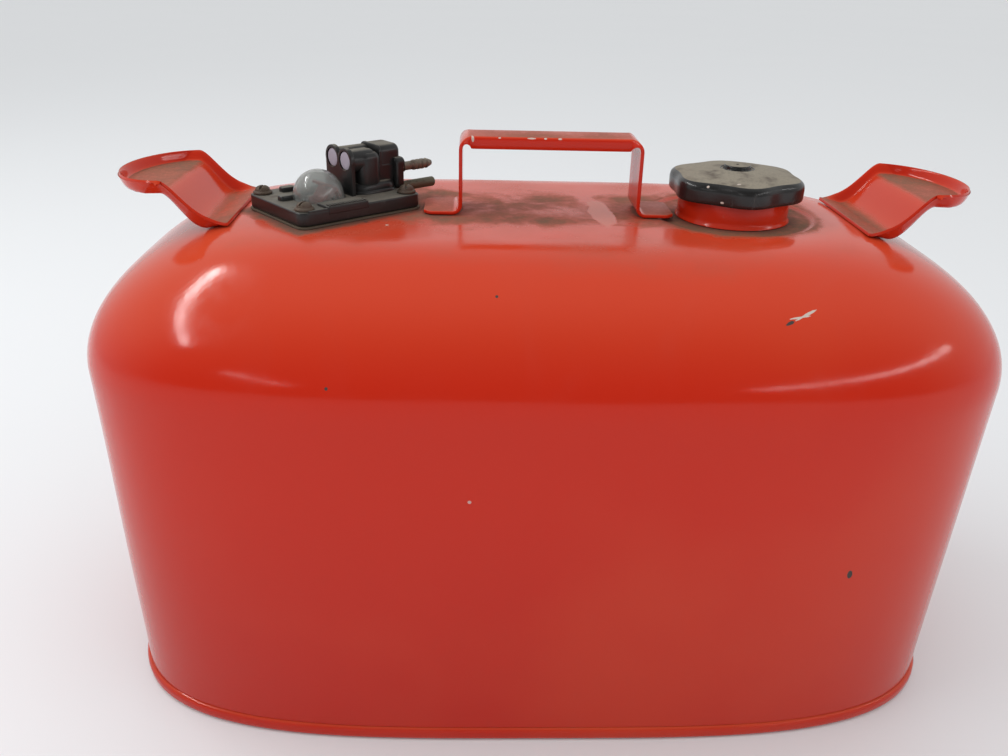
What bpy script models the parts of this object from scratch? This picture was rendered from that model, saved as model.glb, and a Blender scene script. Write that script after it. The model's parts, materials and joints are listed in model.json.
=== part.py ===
# Portable fuel tank for an outboard motor, in pressed steel: the can and its base pan, a strap
# handle, two hose hooks, the filler with its cap, and the unit on top that holds the fuel gauge
# and the fuel outlet.
# Sizes are in millimetres and the helpers turn them into metres. The origin is the middle of
# the base. X runs along the tank, -Y is the front and Z is up.
import math

import bmesh
import bpy
from mathutils import Vector

MM = 0.001
GAP = 0.3  # clearance between pieces that touch

# Can: a superellipse in plan, a little smaller at the base, with drawn shoulders
TANK_LENGTH = 458.0
TANK_WIDTH = 256.0
TANK_HEIGHT = 246.0
PLAN_POWER = 3.62
PLAN_STEPS = 60
SHEET = 1.1
BASE_TAPER = 4.9
RIM_HEIGHT = 7.6
SHOULDER_END = 86.0
SHOULDER_SIDE = 70.7
SHOULDER_HEIGHT = 61.8
SHOULDER_STEPS = 8
END_SOFTNESS = 1.1

# Handle
HANDLE_HALF = 46.2
HANDLE_WIDTH = 29.4
HANDLE_HEIGHT = 39.0
HANDLE_SHEET = 1.8
HANDLE_TAB = 17.8
HANDLE_BEND = 6.0
HANDLE_LIP = 5.2
FOOT_CLIP = 4.5

# Hose hooks
HOOK_START = 157.4
HOOK_REACH = 59.0
HOOK_STRAIGHT = 29.6
HOOK_WIDTH = 73.0
HOOK_SHEET = 1.5
HOOK_TRAY = 13.6
HOOK_LIP = 5.2

# Filler and cap
NECK_X = 97.7
NECK_RADIUS = 28.6
NECK_HEIGHT = 16.4
NECK_HOLE = 26.6
CAP_LOBES = 6
CAP_RADIUS = 33.4
CAP_WAVE = 1.7
CAP_STEPS = 54
LOCK_BAR_REACH = 24.2
LOCK_BAR_WIDTH = 14.0
BAR_TURN = math.radians(35.0)

# Gauge and outlet unit, drawn in its own frame: U along it, V across it and W up from the can
UNIT_X = -109.3
UNIT_Y = -8.6
UNIT_TURN = math.radians(40.0)
PLATE_MIDDLE = (2.6, 3.5)
PLATE_LENGTH = 71.2
PLATE_WIDTH = 52.8
PLATE_BASE = 1.4
PLATE_TOP = 8.0
PLATE_CORNER = 5.0
WINDOW_HALF = (24.8, 13.5)
SCREW_U = 30.0
SCREW_V = 20.4
SCREW_SHANK = 1.9
HEAD_RADIUS = 4.8
HEAD_RISE = 3.9
LENS_U = -8.5
LENS_V = 1.5
LENS_RADIUS = 12.8
LENS_RISE = 14.0
LENS_WALL = 1.3
FACE_U = 5.4
TOWER_V = 3.8
BARREL_GAP = 11.6
BARREL_W = 24.9
PLUG_POCKET = 4.9
OUTLET_FACE = 40.9
NIPPLE_V = -1.4
NIPPLE_W = 17.7
PIN_W = 7.3
TUBE_U = 16.0
TUBE_V = 3.4
TUBE_RADIUS = 3.6

# Float gauge
AXLE_W = 5.0
WIRE_RADIUS = 1.1
AXLE_HALF = 9.2
ELBOW_RADIUS = 27.0
FLOAT_REACH = 224.0
FLOAT_SWING = 74.0
FLOAT_EMPTY = 82.0
FLOAT_RADIUS = 12.5
FLOAT_V = -63.0
FLOAT_LENGTH = 34.0

COLOURS = {
    "red_enamel": ((0.62, 0.07, 0.025, 1), 0.28, 0.0),
    "black_plastic": ((0.025, 0.027, 0.026, 1), 0.45, 0.0),
    "black_rubber": ((0.02, 0.02, 0.02, 1), 0.8, 0.0),
    "cork": ((0.45, 0.28, 0.14, 1), 0.85, 0.0),
    "zinc_steel": ((0.5, 0.49, 0.46, 1), 0.4, 1.0),
    "rusty_steel": ((0.3, 0.22, 0.16, 1), 0.6, 0.8),
    "brass": ((0.6, 0.45, 0.2, 1), 0.35, 1.0),
    "clear_plastic": ((0.75, 0.76, 0.74, 0.4), 0.15, 0.0),
    "plug_plastic": ((0.72, 0.68, 0.74, 1), 0.4, 0.0),
    "dial_red": ((0.6, 0.08, 0.05, 1), 0.5, 0.0),
}


def new_collection(name):
    collection = bpy.data.collections.new(name)
    bpy.context.scene.collection.children.link(collection)
    return collection


def metres(point):
    return tuple(MM * value for value in point)


def add_object(name, mesh, collection, parent=None):
    obj = bpy.data.objects.new(name, mesh)
    collection.objects.link(obj)
    obj.parent = parent
    return obj


def piece(name, mesh, finish, parent=None):
    # A sub-part of the tank, with its own material.
    obj = add_object(name, mesh, parts, parent)
    colour, roughness, metallic = COLOURS[finish]
    material = bpy.data.materials.new(name + "_" + finish)
    material.use_nodes = True
    shader = material.node_tree.nodes["Principled BSDF"]
    shader.inputs["Base Color"].default_value = colour
    shader.inputs["Roughness"].default_value = roughness
    shader.inputs["Metallic"].default_value = metallic
    shader.inputs["Alpha"].default_value = colour[3]
    mesh.materials.append(material)
    return obj


def guide(name, mesh, parent=None):
    # A shape that is only cut from, or joined to, a sub-part.
    obj = add_object(name, mesh, cutters, parent)
    obj.hide_render = True
    obj.display_type = "WIRE"
    return obj


def axis_empty(name, place, turn=0.0, parent=None):
    empty = bpy.data.objects.new(name, None)
    parts.objects.link(empty)
    empty.parent = parent
    empty.location = metres(place)
    empty.rotation_euler = (0, 0, turn)
    return empty


def mesh_from(name, bm):
    mesh = bpy.data.meshes.new(name)
    bm.to_mesh(mesh)
    bm.free()
    return mesh


def smooth(obj, angle=40.0):
    obj.data.shade_smooth()
    obj.data.set_sharp_from_angle(angle=math.radians(angle))


def box_mesh(name, low, high, corner=0.0, along="Z"):
    # A block between two corners; the edges that run along one axis can be rounded.
    bm = bmesh.new()
    bmesh.ops.create_cube(bm, size=1.0)
    for vert in bm.verts:
        vert.co = [MM * (a + (b - a) * (c + 0.5)) for a, b, c in zip(low, high, vert.co)]
    if corner:
        axis = "XYZ".index(along)
        edges = [e for e in bm.edges
                 if abs((e.verts[0].co - e.verts[1].co)[axis]) > MM * 0.1]
        bmesh.ops.bevel(bm, geom=edges, offset=MM * corner, offset_type="OFFSET",
                        segments=4, profile=0.5, affect="EDGES")
    return mesh_from(name, bm)


def rod_mesh(name, start, end, radius, sides=24):
    # A round bar between two points.
    a, b = Vector(metres(start)), Vector(metres(end))
    bm = bmesh.new()
    bmesh.ops.create_cone(bm, cap_ends=True, segments=sides, radius1=MM * radius,
                          radius2=MM * radius, depth=(b - a).length)
    turn = (b - a).to_track_quat("Z", "Y").to_matrix()
    for vert in bm.verts:
        vert.co = turn @ vert.co + (a + b) / 2
    return mesh_from(name, bm)


def loft_mesh(name, rings, start_cap=True):
    # Quads between rings of points, with a flat face on the last ring and mostly the first.
    bm = bmesh.new()
    rows = [[bm.verts.new(metres(p)) for p in ring] for ring in rings]
    count = len(rows[0])
    for lower, upper in zip(rows, rows[1:]):
        for k in range(count):
            n = (k + 1) % count
            bm.faces.new((lower[k], lower[n], upper[n], upper[k]))
    if start_cap:
        bm.faces.new(rows[0][::-1])
    bm.faces.new(rows[-1])
    return mesh_from(name, bm)


def grid_mesh(name, rows, flip=False):
    # An open sheet through rows of points.
    bm = bmesh.new()
    verts = [[bm.verts.new(metres(p)) for p in row] for row in rows]
    for near, far in zip(verts, verts[1:]):
        for k in range(len(near) - 1):
            face = (near[k], near[k + 1], far[k + 1], far[k])
            bm.faces.new(face[::-1] if flip else face)
    return mesh_from(name, bm)


def turned_mesh(name, profile, closed):
    # The profile runs down its outer side at +X; a closed one makes a ring.
    count = len(profile)
    edges = [(k, k + 1) for k in range(count - 1)]
    if closed:
        edges.append((count - 1, 0))
    mesh = bpy.data.meshes.new(name)
    mesh.from_pydata([metres((r, 0, z)) for r, z in profile], edges, [])
    return mesh


def spin(obj, steps):
    screw = obj.modifiers.new("turned", "SCREW")
    screw.axis = "Z"
    screw.steps = steps
    screw.render_steps = steps
    screw.use_merge_vertices = True
    screw.merge_threshold = 0.000005
    screw.use_smooth_shade = True


def turned(name, profile, finish, closed=False, parent=None, steps=48, place=(0, 0, 0)):
    obj = piece(name, turned_mesh(name, profile, closed), finish, parent)
    obj.location = metres(place)
    spin(obj, steps)
    return obj


def thicken(obj, thickness):
    solid = obj.modifiers.new("sheet", "SOLIDIFY")
    solid.thickness = MM * thickness
    solid.offset = -1.0
    solid.use_even_offset = True


def soften(obj, width, segments=2):
    bevel = obj.modifiers.new("edges", "BEVEL")
    bevel.width = MM * width
    bevel.segments = segments
    bevel.limit_method = "ANGLE"
    bevel.angle_limit = math.radians(40.0)
    bevel.harden_normals = False


def boolean(obj, other, operation):
    mod = obj.modifiers.new(other.name, "BOOLEAN")
    mod.object = other
    mod.operation = operation
    mod.solver = "EXACT"


def cut(obj, *others):
    for other in others:
        boolean(obj, other, "DIFFERENCE")


def join(obj, *others):
    for other in others:
        boolean(obj, other, "UNION")


def add_line(curve, points):
    spline = curve.splines.new("POLY")
    spline.points.add(len(points) - 1)
    for target, point in zip(spline.points, points):
        target.co = (*metres(point), 1.0)
    return spline


def curve_mesh(curve):
    # The solid that a curve stands for, with its end faces welded on.
    source = bpy.data.objects.new(curve.name, curve)
    bpy.context.scene.collection.objects.link(source)
    bpy.context.view_layer.update()
    graph = bpy.context.evaluated_depsgraph_get()
    mesh = bpy.data.meshes.new_from_object(source.evaluated_get(graph))
    bpy.data.objects.remove(source)
    bm = bmesh.new()
    bm.from_mesh(mesh)
    bmesh.ops.remove_doubles(bm, verts=bm.verts, dist=0.000001)
    bm.to_mesh(mesh)
    bm.free()
    return mesh


def wire_mesh(name, points, radius, resolution=1):
    # A round wire along a line of points.
    curve = bpy.data.curves.new(name, "CURVE")
    curve.dimensions = "3D"
    curve.bevel_depth = MM * radius
    curve.bevel_resolution = resolution
    curve.use_fill_caps = True
    add_line(curve, points)
    return curve_mesh(curve)


def coil(radius, low, high, turns):
    # Points of a spring that stands upright.
    per_turn = 10
    count = int(turns * per_turn)
    return [(radius * math.cos(2 * math.pi * k / per_turn),
             radius * math.sin(2 * math.pi * k / per_turn),
             low + (high - low) * k / count) for k in range(count + 1)]


def bend(centre, radius, start, end, steps):
    # Points of an arc in a plane; the angles are in degrees.
    return [(centre[0] + radius * math.cos(math.radians(start + (end - start) * k / steps)),
             centre[1] + radius * math.sin(math.radians(start + (end - start) * k / steps)))
            for k in range(steps + 1)]


def ease(value):
    # Smooth step from 0 to 1.
    value = min(max(value, 0.0), 1.0)
    return value * value * (3 - 2 * value)


# Can

def plan_ring(half_x, half_y, z):
    power = 2 / PLAN_POWER
    ring = []
    for k in range(PLAN_STEPS):
        angle = 2 * math.pi * k / PLAN_STEPS
        c, s = math.cos(angle), math.sin(angle)
        ring.append((half_x * math.copysign(abs(c) ** power, c),
                     half_y * math.copysign(abs(s) ** power, s), z))
    return ring


def inset_ring(inset, z):
    return plan_ring(TANK_LENGTH / 2 - inset, TANK_WIDTH / 2 - inset, z)


SHOULDER_Z = TANK_HEIGHT - SHOULDER_HEIGHT


def wall_inset(z):
    return BASE_TAPER * (1 - (z - RIM_HEIGHT) / (SHOULDER_Z - RIM_HEIGHT))


def end_profile_z(x):
    # Height of the can's top on its long middle line, at x.
    inset = TANK_LENGTH / 2 - abs(x)
    share = min(1.0, inset / SHOULDER_END)
    angle = math.acos((1 - share) ** (1 / END_SOFTNESS))
    return SHOULDER_Z + SHOULDER_HEIGHT * math.sin(angle)


def can_rings(start_z):
    rings = [inset_ring(wall_inset(start_z), start_z)]
    for k in range(SHOULDER_STEPS + 1):
        angle = math.pi / 2 * k / SHOULDER_STEPS
        across = TANK_WIDTH / 2 - SHOULDER_SIDE * (1 - math.cos(angle))
        along = TANK_LENGTH / 2 - SHOULDER_END * (1 - math.cos(angle) ** END_SOFTNESS)
        rings.append(plan_ring(along, across, SHOULDER_Z + SHOULDER_HEIGHT * math.sin(angle)))
    return rings


def make_can():
    shell = piece("tank_shell", loft_mesh("tank_shell", can_rings(RIM_HEIGHT + GAP), False),
                  "red_enamel")
    smooth(shell)
    thicken(shell, SHEET)
    low, high = TANK_HEIGHT - 6, TANK_HEIGHT + 6
    filler_hole = guide("filler_hole", rod_mesh(
        "filler_hole", (NECK_X, 0, low), (NECK_X, 0, high), NECK_HOLE, 48))
    window = guide("gauge_window", window_mesh("gauge_window", -6, 6), unit)
    holes = [guide("shell_screw_hole_%d" % (k + 1), rod_mesh(
        "shell_screw_hole", (u, v, -5), (u, v, 5), SCREW_SHANK + 0.4, 16), unit)
        for k, (u, v) in enumerate(screw_places())]
    cut(shell, filler_hole, window, *holes)

    # The pan's sheet goes from its floor down to the foot, out round the rolled rim, and up
    # inside the can's wall.
    profile = [(12, 4.4), (8.4, 3.9), (6.6, 0.6), (5.8, 0), (1.0, 0), (-0.9, 0.9), (-1.5, 2.6),
               (-1.5, 5.6), (-0.8, 7.2), (0.2, RIM_HEIGHT), (SHEET + 0.4, RIM_HEIGHT),
               (SHEET + 0.4, 12), (2 * SHEET + 0.4, 12), (2 * SHEET + 0.4, 6.4), (3.8, 1.2),
               (5.4, 1.2), (7.4, 5.0), (12, 5.5)]
    rings = [inset_ring(BASE_TAPER + inset, z) for inset, z in profile]
    smooth(piece("base_pan", loft_mesh("base_pan", rings), "red_enamel"))


def screw_places():
    u, v = PLATE_MIDDLE
    return [(u - SCREW_U, v - SCREW_V), (u + SCREW_U, v - SCREW_V), (u + SCREW_U, v + SCREW_V),
            (u - SCREW_U, v + SCREW_V)]


def window_mesh(name, low, high):
    # The opening under the unit, through which the float gauge and the pickup tube hang.
    u, v = WINDOW_HALF
    return box_mesh(name, (-u, -v, low), (u, v, high), 6.0)


# Handle

def handle_path():
    # Half the strap's outer line in X and Z, from the middle of the grip to the foot's end,
    # with the direction that points into the strap's thickness.
    top = TANK_HEIGHT + HANDLE_HEIGHT
    foot = TANK_HEIGHT + GAP + HANDLE_SHEET
    fold = 3.0
    corner = bend((-HANDLE_HALF + HANDLE_BEND, top - HANDLE_BEND), HANDLE_BEND, 90, 180, 6)
    ankle = bend((-HANDLE_HALF - fold, foot + fold), fold, 0, -90, 4)
    line = [(0, top), (-12, top), (-24, top), (-33, top)] + corner
    line += [(-HANDLE_HALF, top - 14), (-HANDLE_HALF, foot + 14)] + ankle
    end = -HANDLE_HALF - HANDLE_TAB
    line += [(end + FOOT_CLIP, foot), (end, foot)]
    return line


def make_handle():
    # The strap's whole section is carried along the line; its edges fold down along the grip.
    line = handle_path()
    sheet = HANDLE_SHEET
    rows = []
    for k, (x, z) in enumerate(line):
        before, after = line[max(k - 1, 0)], line[min(k + 1, len(line) - 1)]
        if k == 0:
            before = (-after[0], after[1])
        run = Vector((after[0] - before[0], after[1] - before[1])).normalized()
        inward = Vector((-run.y, run.x))
        half = HANDLE_WIDTH / 2 - (FOOT_CLIP if k == len(line) - 1 else 0)
        on_grip = ease((x + HANDLE_HALF - 3) / 10) if z > TANK_HEIGHT + HANDLE_HEIGHT - 4 else 0
        lip = sheet + (HANDLE_LIP - sheet) * on_grip
        fold = 0.7 + 0.5 * on_grip
        under = half - sheet
        section = [(-half, lip), (-half, fold), (-half + 0.3 * fold, 0.3 * fold),
                   (-half + fold, 0), (0, 0), (half - fold, 0),
                   (half - 0.3 * fold, 0.3 * fold), (half, fold), (half, lip),
                   (under, lip), (under - 0.8, sheet), (0, sheet), (0.8 - under, sheet),
                   (-under, lip)]
        rows.append([(x + inward.x * depth, y, z + inward.y * depth) for y, depth in section])
    other_half = [[(-x, y, z) for x, y, z in row] for row in rows[:0:-1]]
    smooth(piece("handle", loft_mesh("handle", other_half + rows), "red_enamel"), 50)


# Hose hooks

def hook_floor(x):
    # Height of the hook's upper face: flat on the can, then a ramp up to the tray.
    rest = end_profile_z(x) + GAP + HOOK_SHEET
    start, end = HOOK_START + 10, HOOK_START + 31
    tray = TANK_HEIGHT + HOOK_TRAY + HOOK_SHEET - 1.2 * max(0, x - end) / 35
    share = ease((x - start) / (end - start))
    return rest * (1 - share) + tray * share


def hook_rows(side):
    # Lines from the straight inner edge to the rounded outer end; the rim is turned up.
    half = HOOK_WIDTH / 2
    across = [-1, -0.985, -0.96, -0.92, -0.8, -0.6, -0.35, 0, 0.35, 0.6, 0.8, 0.92, 0.96,
              0.985, 1]
    lengths = [0, 0.1, 0.17, 0.24, 0.3, 0.36, 0.42, 0.48, 0.56, 0.68, 0.8, 0.9, 0.95, 0.98, 1]
    rows = []
    for share in lengths:
        row = []
        for q in across:
            reach = HOOK_STRAIGHT + (HOOK_REACH - HOOK_STRAIGHT) * math.sqrt(1 - q * q)
            x = HOOK_START + share * reach
            y = q * half
            inside = min((1 - abs(q)) * half, (1 - share) * reach)
            rise = HOOK_LIP * ease((x - HOOK_START) / 14) + 1.6 * math.exp(
                -((x - HOOK_START - 17) / 7) ** 2)
            lift = rise * (1 - ease(inside / 2.6)) * ease((x - HOOK_START) / 3)
            row.append((side * x, y, hook_floor(x) + lift))
        rows.append(row)
    return rows


def make_hooks():
    for name, side in (("hose_hook_left", -1), ("hose_hook_right", 1)):
        hook = piece(name, grid_mesh(name, hook_rows(side), side > 0), "red_enamel")
        thicken(hook, HOOK_SHEET)
        smooth(hook, 50)


# Filler and cap

def make_neck():
    top = TANK_HEIGHT + NECK_HEIGHT
    base = TANK_HEIGHT + GAP
    spigot = NECK_HOLE - 0.4
    wall = 1.4
    lip_radius = 22.6
    bore = NECK_RADIUS - wall
    profile = [(lip_radius, top), (NECK_RADIUS - 1, top), (NECK_RADIUS, top - 1),
               (NECK_RADIUS, base + 1.6), (NECK_RADIUS + 0.9, base + 0.4),
               (NECK_RADIUS + 0.9, base), (spigot, base), (spigot, base - 5.5),
               (spigot - wall, base - 5.5), (spigot - wall, base + 0.6), (bore, base + 2.4),
               (bore, top - 1.6), (lip_radius, top - 1.6)]
    neck = turned("filler_neck", profile, "red_enamel", closed=True, place=(NECK_X, 0, 0),
                  steps=40)
    # Two notches let the ears of the lock bar down past the lip.
    notch = LOCK_BAR_WIDTH / 2 + 0.8
    slot = guide("lip_notches", box_mesh(
        "lip_notches", (-bore + 0.5, -notch, top - 3), (bore - 0.5, notch, top + 3)), cap_axis)
    slot.rotation_euler = (0, 0, BAR_TURN)
    cut(neck, slot)


def lobed_ring(radius, z, wave):
    ring = []
    for k in range(CAP_STEPS):
        angle = 2 * math.pi * k / CAP_STEPS
        r = radius + wave * CAP_WAVE * math.cos(CAP_LOBES * (angle + math.pi / 2))
        ring.append((r * math.cos(angle), r * math.sin(angle), z))
    return ring


def make_cap():
    rim = TANK_HEIGHT + NECK_HEIGHT
    ceiling = rim + 2.4
    skirt = rim - 5.9
    chamber = 6.4
    chamber_top = ceiling + 3.8
    r = CAP_RADIUS
    profile = [(chamber, chamber_top, 0), (chamber, ceiling, 0), (30.4, ceiling, 0),
               (30.4, skirt + 0.8, 0), (31.0, skirt, 0.4), (r - 0.9, skirt, 1),
               (r - 0.1, skirt + 0.9, 1), (r, ceiling - 0.8, 1), (r - 0.5, ceiling + 1.1, 1),
               (r - 2.0, ceiling + 2.1, 0.9), (27, ceiling + 3.1, 0.5), (19, ceiling + 4.4, 0.15),
               (8.6, ceiling + 5.2, 0), (7.4, ceiling + 5.1, 0), (6.9, ceiling + 5.3, 0),
               (6.7, ceiling + 6.5, 0), (6.1, ceiling + 7.0, 0)]
    rings = [lobed_ring(radius, z, wave) for radius, z, wave in profile]
    shell = piece("cap_shell", loft_mesh("cap_shell", rings), "black_plastic", cap_axis)
    smooth(shell)
    cut(shell, guide("vent_hole", rod_mesh(
        "vent_hole", (0, 0, ceiling), (0, 0, ceiling + 12), 0.8, 12), cap_axis))

    turned("cap_gasket", [(23.0, rim + 2.0), (28.6, rim + 2.0), (28.6, rim + GAP),
                          (23.0, rim + GAP)], "black_rubber", closed=True, parent=cap_axis)

    # The stud hangs from the cap and holds the lock bar against its spring.
    bar_low = rim - 4.4
    bar_high = bar_low + 1.4
    turned("cap_stud", [(1.2, ceiling + 1.0), (6.0, ceiling + 1.0), (6.0, ceiling + 0.2),
                        (2.6, ceiling + 0.2), (2.6, bar_low - GAP), (4.4, bar_low - GAP),
                        (4.0, bar_low - 1.7), (1.2, bar_low - 1.7)],
           "zinc_steel", closed=True, parent=cap_axis, steps=24)
    half = LOCK_BAR_WIDTH / 2
    bar = piece("cap_lock_bar", box_mesh(
        "cap_lock_bar", (-LOCK_BAR_REACH, -half, bar_low), (LOCK_BAR_REACH, half, bar_high),
        3.0), "zinc_steel", cap_axis)
    bar.rotation_euler = (0, 0, BAR_TURN)
    cut(bar, guide("bar_hole", rod_mesh(
        "bar_hole", (0, 0, bar_low - 2), (0, 0, bar_high + 2), 2.9, 24), cap_axis))

    wire = 0.45
    piece("cap_spring", wire_mesh("cap_spring", coil(
        4.6, bar_high + GAP + wire, ceiling - GAP - wire, 3.5), wire), "zinc_steel", cap_axis)
    wire = 0.2
    disc_low = chamber_top - GAP - 0.6
    piece("vent_spring", wire_mesh("vent_spring", coil(
        3.4, ceiling + 1.0 + GAP + wire, disc_low - 0.1 - wire, 2.5), wire),
        "zinc_steel", cap_axis)
    turned("vent_disc", [(0, disc_low + 0.6), (5.4, disc_low + 0.6), (5.4, disc_low),
                         (0, disc_low)], "black_rubber", parent=cap_axis, steps=24)


# Gauge and outlet unit

def make_housing():
    low_u, high_u = PLATE_MIDDLE[0] - PLATE_LENGTH / 2, PLATE_MIDDLE[0] + PLATE_LENGTH / 2
    low_v, high_v = PLATE_MIDDLE[1] - PLATE_WIDTH / 2, PLATE_MIDDLE[1] + PLATE_WIDTH / 2
    housing = piece("upper_housing", box_mesh(
        "upper_housing", (low_u, low_v, PLATE_BASE), (high_u, high_v, PLATE_TOP),
        PLATE_CORNER), "black_plastic", unit)
    soften(housing, 0.7)

    def part(name, mesh, bevel):
        shape = guide(name, mesh, unit)
        soften(shape, bevel)
        return shape

    front, back = TOWER_V - BARREL_GAP / 2, TOWER_V + BARREL_GAP / 2
    pieces = [
        part("pickup_boss", box_mesh("pickup_boss", (8.2, -8.5, PLATE_TOP - 2),
                                     (34.6, 12.5, 13.2), 8.0), 1.6),
        part("gauge_scale", box_mesh("gauge_scale", (-17.8, low_v - 0.3, PLATE_TOP - 2.4),
                                     (5.2, -12.4, PLATE_TOP + 1.3)), 0.4),
        part("lug_1", box_mesh("lug_1", (-28.2, 3.4, PLATE_TOP - 1),
                               (-20.6, 8.6, PLATE_TOP + 2.4), 1.8), 0.7),
        part("lug_2", box_mesh("lug_2", (-18.6, 19.0, PLATE_TOP - 1),
                               (-10.6, 24.4, PLATE_TOP + 2.4), 1.8), 0.7),
        part("tower_body", box_mesh("tower_body", (12.5, -4.4, PLATE_TOP - 1.2),
                                    (37.2, 12.0, 21.4), 3.0), 1.2),
        part("tower_shoulder", box_mesh("tower_shoulder", (11.2, -8.1, 10.1),
                                        (24.7, 3.0, 28.2), 5.0), 1.6),
        part("face_plate", box_mesh("face_plate", (FACE_U, front - 6.1, PLATE_TOP - 0.7),
                                    (FACE_U + 2.4, back + 6.1, BARREL_W + 1.1)), 0.5),
        part("face_lobe_front", rod_mesh("face_lobe_front", (FACE_U + 0.05, front, BARREL_W),
                                         (FACE_U + 2.15, front, BARREL_W), 6.4, 24), 0.5),
        part("face_lobe_back", rod_mesh("face_lobe_back", (FACE_U + 0.05, back, BARREL_W),
                                        (FACE_U + 2.15, back, BARREL_W), 6.4, 24), 0.5),
        part("barrel_front", rod_mesh("barrel_front", (FACE_U + 1, front, BARREL_W - 0.6),
                                      (22.0, front, BARREL_W - 0.6), 5.5, 20), 1.6),
        part("barrel_back", rod_mesh("barrel_back", (FACE_U + 1, back, BARREL_W - 0.6),
                                     (26.5, back, BARREL_W - 0.6), 5.5, 20), 1.6),
        part("barrel_web", box_mesh("barrel_web", (FACE_U + 1.3, front + 0.7, 10.6),
                                    (23.6, back - 0.9, BARREL_W + 3.7)), 0.8),
        part("hump", box_mesh("hump", (25.2, TOWER_V - 7.9, 14.0),
                              (38.4, TOWER_V + 9.7, 30.5), 4.0, "X"), 1.6),
        part("outlet_block", box_mesh("outlet_block", (33.3, NIPPLE_V - 6.4, PLATE_TOP - 0.5),
                                      (OUTLET_FACE - 1.7, NIPPLE_V + 6.9, 23.9), 3.3, "X"), 0.9),
        part("outlet_flange", box_mesh(
            "outlet_flange", (OUTLET_FACE - 3.3, NIPPLE_V - 6.8, 3.3),
            (OUTLET_FACE, NIPPLE_V + 7.5, NIPPLE_W + 5.1), 4.4, "X"), 0.5),
    ]
    join(housing, *pieces)

    bore = 1.3
    cuts = [
        guide("lens_pocket", rod_mesh("lens_pocket", (LENS_U, LENS_V, PLATE_TOP - 1.7),
                                      (LENS_U, LENS_V, PLATE_TOP + 2), LENS_RADIUS + 1.7, 32),
              unit),
        guide("gauge_slot", box_mesh("gauge_slot", (LENS_U - 11.2, LENS_V - 10.6, -2),
                                     (LENS_U + 11.2, LENS_V + 10.6, PLATE_TOP + 3), 5.0), unit),
        guide("plug_pocket_front", rod_mesh(
            "plug_pocket_front", (FACE_U - 2, front, BARREL_W),
            (FACE_U + 1.9, front, BARREL_W), PLUG_POCKET, 28), unit),
        guide("plug_pocket_back", rod_mesh(
            "plug_pocket_back", (FACE_U - 2, back, BARREL_W),
            (FACE_U + 1.9, back, BARREL_W), PLUG_POCKET, 28), unit),
        guide("tube_socket", rod_mesh("tube_socket", (TUBE_U, TUBE_V, -2),
                                      (TUBE_U, TUBE_V, 7.2), TUBE_RADIUS + 0.3, 20), unit),
        guide("riser_bore", rod_mesh("riser_bore", (TUBE_U, TUBE_V, 5),
                                     (TUBE_U, TUBE_V, NIPPLE_W + 1), bore + 0.4, 12), unit),
        guide("cross_bore", box_mesh("cross_bore", (TUBE_U - 1.2, NIPPLE_V - 1, NIPPLE_W - 1),
                                     (TUBE_U + 1.2, TUBE_V + 0.9, NIPPLE_W + 0.9)), unit),
        guide("outlet_bore", rod_mesh("outlet_bore", (TUBE_U + 0.3, NIPPLE_V, NIPPLE_W),
                                      (OUTLET_FACE - 2, NIPPLE_V, NIPPLE_W), bore + 0.2, 12),
              unit),
        guide("nipple_socket", rod_mesh("nipple_socket", (OUTLET_FACE - 6.5, NIPPLE_V, NIPPLE_W),
                                        (OUTLET_FACE + 3, NIPPLE_V, NIPPLE_W), 2.5, 20), unit),
        guide("pin_socket", rod_mesh("pin_socket", (OUTLET_FACE - 5, NIPPLE_V, PIN_W),
                                     (OUTLET_FACE + 3, NIPPLE_V, PIN_W), 2.9, 20), unit),
    ]
    cuts += [guide("plate_screw_hole_%d" % (k + 1), rod_mesh(
        "plate_screw_hole", (u, v, -2), (u, v, PLATE_TOP + 3), SCREW_SHANK + 0.4, 16), unit)
        for k, (u, v) in enumerate(screw_places())]
    cut(housing, *cuts)
    smooth(housing, 35)

    gasket = piece("housing_gasket", box_mesh(
        "housing_gasket", (low_u - 0.5, low_v - 0.5, GAP),
        (high_u + 0.5, high_v + 0.5, PLATE_BASE - GAP), PLATE_CORNER), "black_rubber", unit)
    cut(gasket, guide("gasket_window", window_mesh("gasket_window", -6, 6), unit),
        *[guide("gasket_screw_hole_%d" % (k + 1), rod_mesh(
            "gasket_screw_hole", (u, v, -2), (u, v, 4), SCREW_SHANK + 0.4, 16), unit)
          for k, (u, v) in enumerate(screw_places())])

    for name, v in (("bore_plug_front", front), ("bore_plug_back", back)):
        plug = piece(name, rod_mesh(name, (FACE_U + 0.2, v, BARREL_W),
                                    (FACE_U + 1.6, v, BARREL_W), PLUG_POCKET - 0.3, 28),
                     "plug_plastic", unit)
        soften(plug, 0.3, 1)


def make_screws():
    under = PLATE_TOP + GAP
    top = under + HEAD_RISE
    profile = [(0, top), (1.9, top - 0.15), (3.3, top - 0.8), (4.3, top - 2.0),
               (HEAD_RADIUS, top - 3.2), (HEAD_RADIUS, under), (SCREW_SHANK, under),
               (SCREW_SHANK, -6.4), (1.2, -7.6), (0, -7.6)]
    for k, (u, v) in enumerate(screw_places()):
        name = "housing_screw_%d" % (k + 1)
        screw = turned(name, profile, "rusty_steel", parent=unit, steps=16, place=(u, v, 0))
        slot = guide("screw_slot_%d" % (k + 1), box_mesh(
            "screw_slot", (-6, -0.5, top - 1.5), (6, 0.5, top + 2)), unit)
        slot.location = metres((u, v, 0))
        slot.rotation_euler = (0, 0, math.radians(18 + 67 * k))
        cut(screw, slot)


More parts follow.
